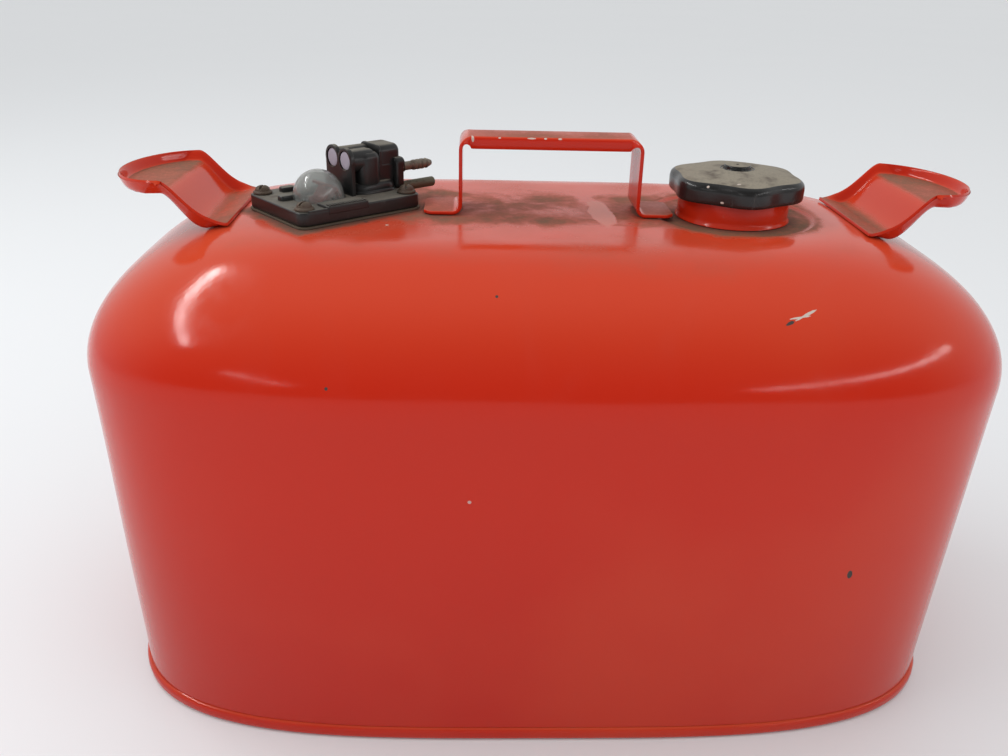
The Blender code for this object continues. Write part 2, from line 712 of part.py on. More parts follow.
def make_lens():
    base = PLATE_TOP - 1.7
    seal_top = base + GAP + 0.7
    flange_low, flange_high = seal_top + GAP, seal_top + GAP + 1.3
    rise = PLATE_TOP + LENS_RISE - flange_high
    outer = [(LENS_RADIUS * math.cos(math.radians(a)),
              flange_high + rise * math.sin(math.radians(a))) for a in range(90, -1, -15)]
    inner_radius, inner_rise = LENS_RADIUS - LENS_WALL, rise - LENS_WALL
    inner = [(inner_radius * math.cos(math.radians(a)),
              flange_high + inner_rise * math.sin(math.radians(a))) for a in range(0, 91, 15)]
    outer[0] = (0, flange_high + rise)
    inner[-1] = (0, flange_high + inner_rise)
    flange = LENS_RADIUS + 1.4
    profile = outer + [(flange, flange_high), (flange, flange_low),
                       (inner_radius, flange_low)] + inner
    turned("gauge_lens", profile, "clear_plastic", parent=unit, steps=32,
           place=(LENS_U, LENS_V, 0))
    turned("lens_seal", [(LENS_RADIUS - 0.2, seal_top), (flange, seal_top),
                         (flange, base + GAP), (LENS_RADIUS - 0.2, base + GAP)],
           "black_rubber", closed=True, parent=unit, steps=32, place=(LENS_U, LENS_V, 0))


def make_outlet():
    # The nipple is turned on its own axis and then laid along the unit.
    tip = 60.2
    profile = [(1.0, tip), (1.5, tip - 0.1), (2.1, tip - 2.0), (2.75, tip - 3.6),
               (2.3, tip - 3.9)]
    for k in range(3):
        top = tip - 5.0 - 2.6 * k
        profile += [(2.3, top), (2.7, top - 0.5), (2.7, top - 1.9), (2.3, top - 2.1)]
    collar = OUTLET_FACE + GAP
    profile += [(2.3, collar + 0.8), (2.9, collar + 0.6), (2.9, collar), (2.2, collar),
                (2.2, collar - 6.2), (1.0, collar - 6.2)]
    nipple = turned("fuel_nipple", profile, "zinc_steel", closed=True, parent=unit, steps=14,
                    place=(0, NIPPLE_V, NIPPLE_W))
    nipple.rotation_euler = (0, math.pi / 2, 0)

    tip, root = 61.8, OUTLET_FACE - 4.6
    pin = turned("guide_pin", [(0, tip), (2.0, tip), (2.6, tip - 0.6), (2.6, root), (0, root)],
                 "zinc_steel", parent=unit, steps=20, place=(0, NIPPLE_V, PIN_W))
    pin.rotation_euler = (0, math.pi / 2, 0)

    tube_end = 22 - TANK_HEIGHT
    turned("pickup_tube", [(TUBE_RADIUS - 0.8, 6.4), (TUBE_RADIUS, 6.4), (TUBE_RADIUS, tube_end),
                           (TUBE_RADIUS - 0.8, tube_end)], "brass", closed=True, parent=unit,
           steps=20, place=(TUBE_U, TUBE_V, 0))
    # The strainer is a cup round the tube's end, open at its collar and with a drain hole.
    collar = TUBE_RADIUS + GAP
    low = 9.5 - TANK_HEIGHT
    turned("pickup_screen", [(collar, low + 26), (5.4, low + 26), (6.8, low + 24),
                             (6.8, low + 1), (5.8, low), (1.2, low), (1.2, low + 0.8),
                             (5.4, low + 0.8), (6.0, low + 1.6), (6.0, low + 23.4),
                             (collar, low + 24.6)],
           "zinc_steel", closed=True, parent=unit, steps=20, place=(TUBE_U, TUBE_V, 0))


def make_gauge():
    # Everything here hangs on the axle line under the lens.
    ears_v, ear = 7.6, 0.5
    bracket = piece("gauge_bracket", box_mesh(
        "gauge_bracket", (-12.6, -8.1, -3.2), (3.6, 8.1, -2.2)), "zinc_steel", gauge_frame)
    drop = AXLE_W
    shapes = [guide("bracket_ear_%d" % k, box_mesh(
        "bracket_ear", (-3.4, v - ear, -2.9), (3.4, v + ear, drop + 2.6), 2.4, "Y"), gauge_frame)
        for k, v in enumerate((-ears_v, ears_v))]
    shapes.append(guide("bracket_riser", box_mesh(
        "bracket_riser", (-12.7, -7.9, -2.9), (-11.7, 7.9, 0.9)), gauge_frame))
    shapes.append(guide("bracket_foot", box_mesh(
        "bracket_foot", (-15.9, -6.0, 0.1), (-11.9, 6.0, 1.1)), gauge_frame))
    join(bracket, *shapes)
    cut(bracket, guide("axle_holes", rod_mesh(
        "axle_holes", (0, -10, drop), (0, 10, drop), WIRE_RADIUS + 0.25, 16), gauge_frame),
        guide("foot_hole", rod_mesh("foot_hole", (-14.4, 0, -4), (-14.4, 0, 4), 1.2, 12),
              gauge_frame))
    cut(bpy.data.objects["upper_housing"], guide("foot_screw_hole", rod_mesh(
        "foot_screw_hole", (-14.4, 0, 0), (-14.4, 0, 5.2), 1.2, 12), gauge_frame))
    turned("bracket_screw", [(0, 4.8), (0.85, 4.4), (0.85, -0.2), (1.4, -0.2), (1.3, -1.1),
                             (0, -1.2)], "zinc_steel", parent=gauge_frame, steps=16,
           place=(-14.4, 0, 0))

    # Rest is an empty tank: the float hangs at its lower stop.
    empty_tilt = -FLOAT_SWING / 2
    elbow = math.radians(-90 + empty_tilt)
    reach = math.radians(-FLOAT_EMPTY)
    elbow_at = (ELBOW_RADIUS * math.cos(elbow), ELBOW_RADIUS * math.sin(elbow))
    float_at = (FLOAT_REACH * math.cos(reach), FLOAT_REACH * math.sin(reach))
    leg_v = -AXLE_HALF
    inner_end = FLOAT_V + FLOAT_LENGTH / 2 + 4 - LENS_V
    outer_end = FLOAT_V - FLOAT_LENGTH / 2 - 2.5 - LENS_V
    points = [(0, AXLE_HALF, 0), (0, leg_v + 1.6, 0),
              (0.5 * elbow_at[0] / ELBOW_RADIUS, leg_v + 0.5, 0.5 * elbow_at[1] / ELBOW_RADIUS),
              (1.6 * elbow_at[0] / ELBOW_RADIUS, leg_v, 1.6 * elbow_at[1] / ELBOW_RADIUS),
              (0.93 * elbow_at[0], leg_v, 0.93 * elbow_at[1]),
              (elbow_at[0] + 0.02 * (float_at[0] - elbow_at[0]), leg_v - 0.6,
               elbow_at[1] + 0.01 * (float_at[1] - elbow_at[1]))]
    knee = points[-1]
    points.append((knee[0] + 0.97 * (float_at[0] - knee[0]), inner_end + 1.5,
                   knee[2] + 0.97 * (float_at[1] - knee[2])))
    points += [(float_at[0], inner_end - 2, float_at[1]), (float_at[0], outer_end, float_at[1])]
    wire = piece("float_arm", wire_mesh("float_arm", points, WIRE_RADIUS), "zinc_steel",
                 arm_axis)
    smooth(wire)

    cork_low, cork_high = FLOAT_V - FLOAT_LENGTH / 2 - LENS_V, FLOAT_V + FLOAT_LENGTH / 2 - LENS_V
    cork = turned("float", [(WIRE_RADIUS + 0.3, cork_high), (FLOAT_RADIUS - 1, cork_high),
                            (FLOAT_RADIUS, cork_high - 1), (FLOAT_RADIUS, cork_low + 1),
                            (FLOAT_RADIUS - 1, cork_low), (WIRE_RADIUS + 0.3, cork_low)],
                  "cork", closed=True, parent=arm_axis, steps=28)
    # The cork is turned about Z and laid along the axle line.
    cork.rotation_euler = (-math.pi / 2, 0, 0)
    cork.location = metres((float_at[0], 0, float_at[1]))

    # The indicator is a strip of drum on two spokes, seen through the lens.
    hub, drum, strip = 2.6, 10.4, 1.3
    spread = 34.0
    centre = 90 + empty_tilt
    outline = bend((0, 0), drum, centre - spread, centre + spread, 10)
    outline += bend((0, 0), drum - strip, centre + spread, centre + 8, 4)
    outline += bend((0, 0), hub, centre + 30, centre + 330, 14)
    outline += bend((0, 0), drum - strip, centre - 8, centre - spread, 4)
    bore = bend((0, 0), WIRE_RADIUS + 0.25, 0, 360 - 22.5, 15)
    curve = bpy.data.curves.new("gauge_indicator", "CURVE")
    curve.dimensions = "2D"
    curve.fill_mode = "BOTH"
    curve.extrude = MM * 6.0
    for ring in (outline, bore):
        add_line(curve, [(a, b, 0) for a, b in ring]).use_cyclic_u = True
    indicator = piece("gauge_indicator", curve_mesh(curve), "dial_red", arm_axis)
    indicator.rotation_euler = (math.pi / 2, 0, 0)


for old in list(bpy.data.objects):
    bpy.data.objects.remove(old, do_unlink=True)
parts = new_collection("outboard_fuel_tank")
cutters = new_collection("cutters")
unit = axis_empty("unit_frame", (UNIT_X, UNIT_Y, TANK_HEIGHT), UNIT_TURN)
gauge_frame = axis_empty("gauge_frame", (LENS_U, LENS_V, 0), 0.0, unit)
arm_axis = axis_empty("arm_axis", (0, 0, AXLE_W), 0.0, gauge_frame)
cap_axis = axis_empty("cap_axis", (NECK_X, 0, 0))
make_can()
make_handle()
make_hooks()
make_neck()
make_cap()
make_housing()
make_screws()
make_lens()
make_outlet()
make_gauge()
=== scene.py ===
import json
import math

import bpy
import bmesh
import numpy as np
from mathutils import Matrix, Vector

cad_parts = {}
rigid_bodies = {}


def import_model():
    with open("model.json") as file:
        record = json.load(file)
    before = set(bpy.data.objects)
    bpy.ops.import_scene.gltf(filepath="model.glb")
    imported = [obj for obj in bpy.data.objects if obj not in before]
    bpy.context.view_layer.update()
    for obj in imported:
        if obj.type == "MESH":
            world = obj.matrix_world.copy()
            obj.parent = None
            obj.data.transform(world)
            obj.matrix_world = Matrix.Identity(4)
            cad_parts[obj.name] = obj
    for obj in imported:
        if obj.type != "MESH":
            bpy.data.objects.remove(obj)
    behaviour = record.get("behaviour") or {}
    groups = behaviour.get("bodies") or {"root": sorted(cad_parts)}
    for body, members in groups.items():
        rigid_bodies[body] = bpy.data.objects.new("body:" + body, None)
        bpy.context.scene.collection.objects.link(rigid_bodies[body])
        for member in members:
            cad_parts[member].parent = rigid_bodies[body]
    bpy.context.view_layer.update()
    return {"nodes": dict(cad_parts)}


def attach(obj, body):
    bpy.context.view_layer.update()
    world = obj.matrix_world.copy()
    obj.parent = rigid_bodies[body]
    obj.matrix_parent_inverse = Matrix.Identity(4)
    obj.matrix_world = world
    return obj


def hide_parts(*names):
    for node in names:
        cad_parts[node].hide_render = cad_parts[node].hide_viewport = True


for old in list(bpy.data.objects):
    bpy.data.objects.remove(old, do_unlink=True)
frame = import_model()
mm = 0.001
print("frame loaded:", len(frame["nodes"]), "nodes")


# Shapes are worked out in millimetres and put into the mesh in metres.

def meshPiece(name, points, faces, angle=35.0):
    mesh = bpy.data.meshes.new(name)
    mesh.from_pydata((np.asarray(points, float) * mm).tolist(), [], faces)
    bm = bmesh.new()
    bm.from_mesh(mesh)
    bmesh.ops.remove_doubles(bm, verts=bm.verts, dist=0.0000005)
    bmesh.ops.dissolve_degenerate(bm, edges=bm.edges, dist=0.0000001)
    bmesh.ops.recalc_face_normals(bm, faces=bm.faces)
    bm.to_mesh(mesh)
    bm.free()
    mesh.shade_smooth()
    mesh.set_sharp_from_angle(angle=math.radians(angle))
    obj = bpy.data.objects.new(name, mesh)
    bpy.context.scene.collection.objects.link(obj)
    return obj


def gridFaces(rows, columns, closed=True):
    # The four corner numbers of each cell, for points stored row by row
    row, column = np.meshgrid(np.arange(rows - 1), np.arange(columns if closed else columns - 1),
                              indexing="ij")
    after = (column + 1) % columns
    cells = [row * columns + column, row * columns + after,
             (row + 1) * columns + after, (row + 1) * columns + column]
    return np.stack(cells, -1).reshape(-1, 4)


def ringPiece(name, rings, caps=True, loop=False, angle=35.0):
    # Cells between rings of points; the two ends are closed by fans, or the last ring meets
    # the first
    rings = np.asarray(rings, float)
    rows, columns = rings.shape[:2]
    points = rings.reshape(-1, 3)
    faces = (gridFaces(rows + 1 if loop else rows, columns) % len(points)).tolist()
    if caps and not loop:
        middle = len(points)
        points = np.concatenate([points, rings[:1].mean(1), rings[-1:].mean(1)])
        k = np.arange(columns)
        n = (k + 1) % columns
        last = (rows - 1) * columns
        faces += np.stack([n, k, np.full(columns, middle)], -1).tolist()
        faces += np.stack([last + k, last + n, np.full(columns, middle + 1)], -1).tolist()
    return meshPiece(name, points, faces, angle)


def roundedLine(points, radius, steps=4, closed=False):
    # Each corner b becomes (1-t)^2 a + 2t(1-t) b + t^2 c, with a and c a little before and
    # after it on the line
    points = np.asarray(points, float)

    def toward(other):
        step = other - points
        length = np.maximum(np.linalg.norm(step, axis=1, keepdims=True), 1e-9)
        return points + step * np.minimum(0.45, radius / length)

    start, end = toward(np.roll(points, 1, 0)), toward(np.roll(points, -1, 0))
    t = np.linspace(0, 1, steps)[None, :, None]
    curve = (1 - t) ** 2 * start[:, None] + 2 * t * (1 - t) * points[:, None]
    curve += t ** 2 * end[:, None]
    if closed:
        return curve.reshape(-1, points.shape[1])
    inner = curve[1:-1].reshape(-1, points.shape[1])
    return np.concatenate([points[:1], inner, points[-1:]])


def ease(value):
    # 3v^2 - 2v^3, from 0 to 1
    value = np.clip(value, 0.0, 1.0)
    return value * value * (3 - 2 * value)


def placed(points, matrix):
    points = np.asarray(points, float)
    return points @ matrix[:3, :3].T + matrix[:3, 3]


def frameAt(origin, turn=0.0, up="Z"):
    # A turn about Z; with up X the local Z runs along the turned X
    c, s = math.cos(math.radians(turn)), math.sin(math.radians(turn))
    matrix = np.eye(4)
    matrix[:3, :3] = [[c, -s, 0], [s, c, 0], [0, 0, 1]]
    if up == "X":
        matrix[:3, :3] = matrix[:3, :3] @ np.array([[0, 0, 1], [1, 0, 0], [0, 1, 0]], float)
    matrix[:3, 3] = origin
    return matrix


def turnedRings(profile, steps):
    # (r cos a, r sin a, h) for each profile point and angle
    profile = np.asarray(profile, float)
    turn = np.linspace(0, 2 * np.pi, steps, endpoint=False)
    radius, height = profile[:, :1], profile[:, 1:]
    return np.stack([radius * np.cos(turn), radius * np.sin(turn),
                     np.broadcast_to(height, (len(profile), steps))], -1)


def turnedPiece(name, profile, matrix, steps=64, corner=0.3, closed=False):
    line = roundedLine(profile, corner, 4, closed)
    rings = placed(turnedRings(line, steps), matrix)
    return ringPiece(name, rings, caps=False, loop=closed)


def roundRect(halfA, halfB, radius, perCorner=9):
    # Four quarter circles joined by straight sides
    radius = max(0.02, min(radius, halfA, halfB))
    turn = np.radians(np.arange(4)[:, None] * 90 + np.linspace(0, 90, perCorner)[None])
    signA = np.array([1, -1, -1, 1])[:, None]
    signB = np.array([1, 1, -1, -1])[:, None]
    return np.stack([signA * (halfA - radius) + radius * np.cos(turn),
                     signB * (halfB - radius) + radius * np.sin(turn)], -1).reshape(-1, 2)


def edgeCurve(edge):
    # How far a rounded edge draws in, and at what height, along a quarter circle
    turn = np.radians(np.linspace(0, 90, 5))
    return edge * (1 - np.sin(turn)), edge * (1 - np.cos(turn))


def block(name, low, high, corner, edge, matrix, along="Z"):
    # Round-cornered rings drawn in by the edge radius at both ends
    order = {"Z": (0, 1, 2), "X": (1, 2, 0), "Y": (2, 0, 1)}[along]
    low, high = np.array(low, float)[list(order)], np.array(high, float)[list(order)]
    half, middle = (high - low) / 2, (high + low) / 2
    inset, height = edgeCurve(edge)
    rings = []
    steps = np.concatenate([inset, inset[::-1]])
    for step, z in zip(steps, np.concatenate([low[2] + height, high[2] - height[::-1]])):
        flat = roundRect(half[0] - step, half[1] - step, corner - step)
        rings.append(np.column_stack([flat + middle[:2], np.full(len(flat), z)]))
    rings = np.array(rings)
    back = np.empty_like(rings)
    back[..., list(order)] = rings
    return ringPiece(name, placed(back, matrix))


def rod(name, start, end, radius, edge, matrix, steps=48):
    # A round bar between two points on one axis, with rounded ends
    start, end = np.array(start, float), np.array(end, float)
    axis = int(np.argmax(np.abs(end - start)))
    length = end[axis] - start[axis]
    inset, height = edgeCurve(edge)
    profile = np.concatenate([np.column_stack([radius - inset, height]),
                              np.column_stack([radius - inset, length - height])[::-1]])
    rings = turnedRings(profile, steps)
    order = [(1, 2, 0), (2, 0, 1), (0, 1, 2)][axis]
    back = np.empty_like(rings)
    back[..., list(order)] = rings
    return ringPiece(name, placed(back + start, matrix))


def settle(obj, angle=35.0):
    # The shape with its modifiers becomes the mesh
    graph = bpy.context.evaluated_depsgraph_get()
    mesh = bpy.data.meshes.new_from_object(obj.evaluated_get(graph))
    obj.modifiers.clear()
    obj.data = mesh
    mesh.name = obj.name
    mesh.shade_smooth()
    mesh.set_sharp_from_angle(angle=math.radians(angle))
    return obj


def combine(base, added=(), removed=(), angle=35.0):
    for others, operation in ((added, "UNION"), (removed, "DIFFERENCE")):
        for other in others:
            step = base.modifiers.new(other.name, "BOOLEAN")
            step.object = other
            step.operation = operation
            step.solver = "EXACT"
    settle(base, angle)
    for other in (*added, *removed):
        bpy.data.objects.remove(other, do_unlink=True)
    return base


def wall(obj, thickness, offset=-1.0):
    solid = obj.modifiers.new("wall", "SOLIDIFY")
    solid.thickness = thickness * mm
    solid.offset = offset
    solid.use_even_offset = True
    return obj


def softEdges(obj, width, segments=3, angle=40.0):
    bevel = obj.modifiers.new("edges", "BEVEL")
    bevel.width = width * mm
    bevel.segments = segments
    bevel.limit_method = "ANGLE"
    bevel.angle_limit = math.radians(angle)
    return obj


def stands(obj, body, slot, *nodes):
    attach(obj, body)
    if nodes:
        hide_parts(*nodes)
    return obj


# Node trees

class Tree:
    # Short ways to add nodes to one material or group
    def __init__(self, tree):
        self.tree = tree

    def add(self, kind, values=(), **settings):
        node = self.tree.nodes.new(kind)
        for key, value in settings.items():
            setattr(node, key, value)
        return self.fill(node, values)

    def fill(self, node, values):
        for key, value in dict(values).items():
            if isinstance(value, bpy.types.NodeSocket):
                self.tree.links.new(value, node.inputs[key])
            else:
                node.inputs[key].default_value = value
        return node

    def place(self):
        return self.add("ShaderNodeTexCoord").outputs["Object"]

    def noise(self, vector, scale, detail=4.0, roughness=0.55, distortion=0.0):
        return self.add("ShaderNodeTexNoise", {
            "Vector": vector, "Scale": scale, "Detail": detail, "Roughness": roughness,
            "Distortion": distortion}).outputs[0]

    def rise(self, value, low, high, start=0.0, end=1.0):
        return self.add("ShaderNodeMapRange", {
            "Value": value, "From Min": low, "From Max": high, "To Min": start, "To Max": end},
            interpolation_type="SMOOTHSTEP").outputs[0]

    def sum(self, operation, a, b=0.0, c=0.0, clamp=False):
        return self.add("ShaderNodeMath", {0: a, 1: b, 2: c}, operation=operation,
                        use_clamp=clamp).outputs[0]

    def mix(self, share, a, b):
        return self.add("ShaderNodeMix", {0: share, 6: a, 7: b}, data_type="RGBA").outputs[2]

    def blendNumber(self, share, a, b):
        return self.add("ShaderNodeMix", {0: share, 2: a, 3: b}, data_type="FLOAT").outputs[0]

    def split(self, vector):
        return self.add("ShaderNodeSeparateXYZ", {0: vector}).outputs

    def moved(self, vector, location=(0, 0, 0), turn=0.0, scale=(1, 1, 1)):
        return self.add("ShaderNodeMapping", {
            "Vector": vector, "Location": location, "Rotation": (0, 0, math.radians(turn)),
            "Scale": scale}, vector_type="TEXTURE").outputs[0]

    def distance(self, vector, x, y):
        # How far a place is from an upright line
        flat = self.add("ShaderNodeVectorMath", {0: vector, 1: (1, 1, 0)},
                        operation="MULTIPLY").outputs[0]
        return self.add("ShaderNodeVectorMath", {0: flat, 1: (x, y, 0)},
                        operation="DISTANCE").outputs["Value"]

    def patch(self, vector, centre, half, turn=0.0, ragged=0.5, scale=160.0):
        # 1 inside an ellipsoid about a point, given in mm, with a ragged edge
        near = self.moved(vector, tuple(v * mm for v in centre), turn, tuple(v * mm for v in half))
        far = self.add("ShaderNodeVectorMath", {0: near}, operation="LENGTH").outputs["Value"]
        wobble = self.sum("SUBTRACT", self.noise(vector, scale, 4.0, 0.65), 0.5)
        return self.rise(self.sum("MULTIPLY_ADD", wobble, ragged * 2, far), 0.85, 1.1, 1.0, 0.0)

    def most(self, masks):
        top = masks[0]
        for mask in masks[1:]:
            top = self.sum("MAXIMUM", top, mask)
        return top

    def group(self, tree, values=()):
        node = self.tree.nodes.new("ShaderNodeGroup")
        node.node_tree = tree
        return self.fill(node, values).outputs


def newGroup(name, inputs, outputs):
    tree = bpy.data.node_groups.new(name, "ShaderNodeTree")
    for label, start in inputs.items():
        socket = tree.interface.new_socket(label, in_out="INPUT", socket_type="NodeSocketFloat")
        socket.default_value = start
    for label in outputs:
        tree.interface.new_socket(label, in_out="OUTPUT", socket_type="NodeSocketFloat")
    t = Tree(tree)
    given = t.add("NodeGroupInput").outputs
    result = t.add("NodeGroupOutput")
    return tree, t, given, result


def material(name, colour, roughness, metallic=0.0):
    made = bpy.data.materials.new(name)
    made.use_nodes = True
    made.diffuse_color = (*colour, 1)
    t = Tree(made.node_tree)
    shader = made.node_tree.nodes["Principled BSDF"]
    shader.inputs["Base Color"].default_value = (*colour, 1)
    shader.inputs["Roughness"].default_value = roughness
    shader.inputs["Metallic"].default_value = metallic
    return made, t, shader


def bumpTo(t, shader, height, distance, strength=1.0):
    bump = t.add("ShaderNodeBump", {"Height": height, "Distance": distance, "Strength": strength})
    t.tree.links.new(bump.outputs[0], shader.inputs["Normal"])


def buildDust():
    # Dust lies on what faces up, in blotches and fine grains
    tree, t, given, result = newGroup(
        "settledDust", {"amount": 0.5, "steepest": 0.6, "blotch": 14.0, "grain": 500.0},
        ["mask", "grains"])
    place = t.place()
    normal = t.add("ShaderNodeNewGeometry").outputs["Normal"]
    up = t.split(normal)[2]
    facing = t.sum("SMOOTH_MIN", t.sum("DIVIDE", t.sum("SUBTRACT", up, given["steepest"]),
                                       t.sum("SUBTRACT", 1.0, given["steepest"])), 1.0, 0.2)
    blotch = t.noise(place, given["blotch"], 6.0, 0.6)
    grain = t.noise(place, given["grain"], 3.0, 0.7)
    share = t.sum("MULTIPLY", t.sum("MAXIMUM", facing, 0.0), given["amount"])
    spread = t.sum("ADD", share, t.sum("MULTIPLY", t.sum("SUBTRACT", blotch, 0.5), 1.1))
    seen = t.rise(spread, 0.12, 0.85)
    cover = t.sum("MULTIPLY", seen, t.rise(share, 0.0, 0.18))
    mask = t.sum("MULTIPLY", cover, t.rise(grain, 0.2, 0.62, 0.62, 1.0), clamp=True)
    t.tree.links.new(mask, result.inputs["mask"])
    t.tree.links.new(grain, result.inputs["grains"])
    return tree


def buildSpecks():
    # Small round spots scattered one to a cell, only in some of the cells
    tree, t, given, result = newGroup(
        "specks", {"scale": 60.0, "size": 0.05, "share": 0.3}, ["mask"])
    place = t.place()
    cell = t.add("ShaderNodeTexVoronoi", {"Vector": place, "Scale": given["scale"]},
                 feature="F1")
    chosen = t.sum("LESS_THAN", t.split(cell.outputs["Color"])[0], given["share"])
    size = t.sum("MULTIPLY", given["size"], t.split(cell.outputs["Color"])[1])
    near = t.sum("LESS_THAN", cell.outputs["Distance"], size)
    t.tree.links.new(t.sum("MULTIPLY", chosen, near), result.inputs["mask"])
    return tree


def buildPeel():
    # The slight unevenness of sprayed paint, with faint smears that dull the gloss
    tree, t, given, result = newGroup("paintPeel", {"scale": 420.0}, ["height", "smear"])
    place = t.place()
    fine = t.noise(place, given["scale"], 2.0, 0.5)
    slow = t.noise(place, 30.0, 3.0, 0.5)
    smear = t.noise(t.moved(place, (0, 0, 0), 20, (1.0, 1.0, 3.0)), 26.0, 7.0, 0.65, 0.6)
    t.tree.links.new(t.sum("MULTIPLY_ADD", slow, 0.6, fine), result.inputs["height"])
    t.tree.links.new(smear, result.inputs["smear"])
    return tree


dustGroup, speckGroup, peelGroup = buildDust(), buildSpecks(), buildPeel()
neckX = 0.0977
footX = 55

colours = {
    "red": (0.55, 0.020, 0.005), "redShaded": (0.43, 0.015, 0.006), "redFadedAndSheen": (0.58, 0.070, 0.026),
    "pinkish": (0.58, 0.14, 0.08), "dustTan": (0.18, 0.108, 0.062),
    "dustOlive": (0.125, 0.098, 0.060),
    "dustDark": (0.085, 0.060, 0.045), "dustGrey": (0.22, 0.200, 0.160),
    "capDust": (0.30, 0.262, 0.200),
    "bareSteel": (0.055, 0.045, 0.040), "primer": (0.27, 0.26, 0.24),
    "chipPale": (0.55, 0.47, 0.41),
    "blackPlastic": (0.013, 0.013, 0.013), "rubber": (0.02, 0.02, 0.019),
    "zinc": (0.42, 0.41, 0.38), "rust": (0.10, 0.070, 0.050), "brass": (0.55, 0.40, 0.17),
    "dullSteel": (0.20, 0.17, 0.135), "oliveSteel": (0.14, 0.13, 0.09),
    "cork": (0.42, 0.26, 0.13), "lens": (0.55, 0.56, 0.54), "plug": (0.40, 0.36, 0.43),
    "dial": (0.55, 0.06, 0.035),
}


def rgba(name):
    return (*colours[name], 1)


def topDust(t, place, grains):
    # Dust on the can's flat top: a wide soft band along the middle, heavier in the dished ring
    # round the filler, and heavier against the parts, where narrow bands are also darkened as
    # painted contact shade
    flat = t.rise(t.split(t.add("ShaderNodeNewGeometry").outputs["Normal"])[2], 0.93, 0.999)
    rim = t.noise(place, 26.0, 7.0, 0.68, 0.3)
    parts = t.split(place)
    across = t.sum("SUBTRACT", 1.0, t.rise(t.sum("ABSOLUTE", t.sum("SUBTRACT", parts[1], 0.004)),
                                          0.020, 0.062))
    along = t.sum("SUBTRACT", 1.0, t.rise(t.sum("ABSOLUTE", parts[0]), 0.10, 0.17))
    band = t.sum("MULTIPLY", t.sum("MULTIPLY", across, along), 0.78)
    fromFiller = t.distance(place, neckX, 0)
    dish = t.rise(fromFiller, 0.038, 0.056, 1.15, 0.0)
    unitPlace = t.moved(place, (-0.1096, -0.0043, 0), 40.0)
    unitParts = t.split(t.add("ShaderNodeVectorMath", {0: unitPlace},
                              operation="ABSOLUTE").outputs[0])
    beside = t.sum("MAXIMUM", t.sum("SUBTRACT", unitParts[0], 0.0361),
                   t.sum("SUBTRACT", unitParts[1], 0.0269))
    nearUnit = t.rise(beside, 0.0, 0.011, 1.0, 0.0)
    nearNeck = t.rise(fromFiller, 0.029, 0.036, 1.0, 0.0)
    feet = []
    for foot in (-footX, footX):
        gap = t.moved(place, (foot * mm, 0, 0), 0.0, (0.0095, 0.015, 1.0))
        off = t.sum("SUBTRACT", t.add("ShaderNodeVectorMath", {0: t.add(
            "ShaderNodeVectorMath", {0: gap, 1: (1, 1, 0)}, operation="MULTIPLY").outputs[0]},
            operation="LENGTH").outputs["Value"], 1.0)
        feet.append(t.rise(off, 0.0, 0.55, 1.0, 0.0))
    # More dust against the unit, the filler and the handle feet; the same mask darkens the dust
    # there as painted contact shade
    nearPartsDustAndShade = t.most([nearUnit, nearNeck] + feet)
    share = t.most([band, dish, t.sum("MULTIPLY", nearPartsDustAndShade, 1.05)])
    # A paler pinkish patch with less dust, near the middle of the top
    palePatch = t.patch(place, (28.4, -4.0, 246), (6.0, 27.0, 30), 4, 0.7, 60.0)
    share = t.sum("MULTIPLY_ADD", palePatch, -0.75, share)
    cover = t.rise(t.sum("MULTIPLY_ADD", t.sum("SUBTRACT", rim, 0.5), 2.4, share), 0.25, 1.15)
    grainy = t.rise(grains, 0.15, 0.65, 0.72, 1.0)
    mask = t.sum("MULTIPLY", t.sum("MULTIPLY", cover, grainy), flat, clamp=True)
    return mask, t.sum("MULTIPLY", nearPartsDustAndShade, flat), t.sum("MULTIPLY", palePatch, flat)


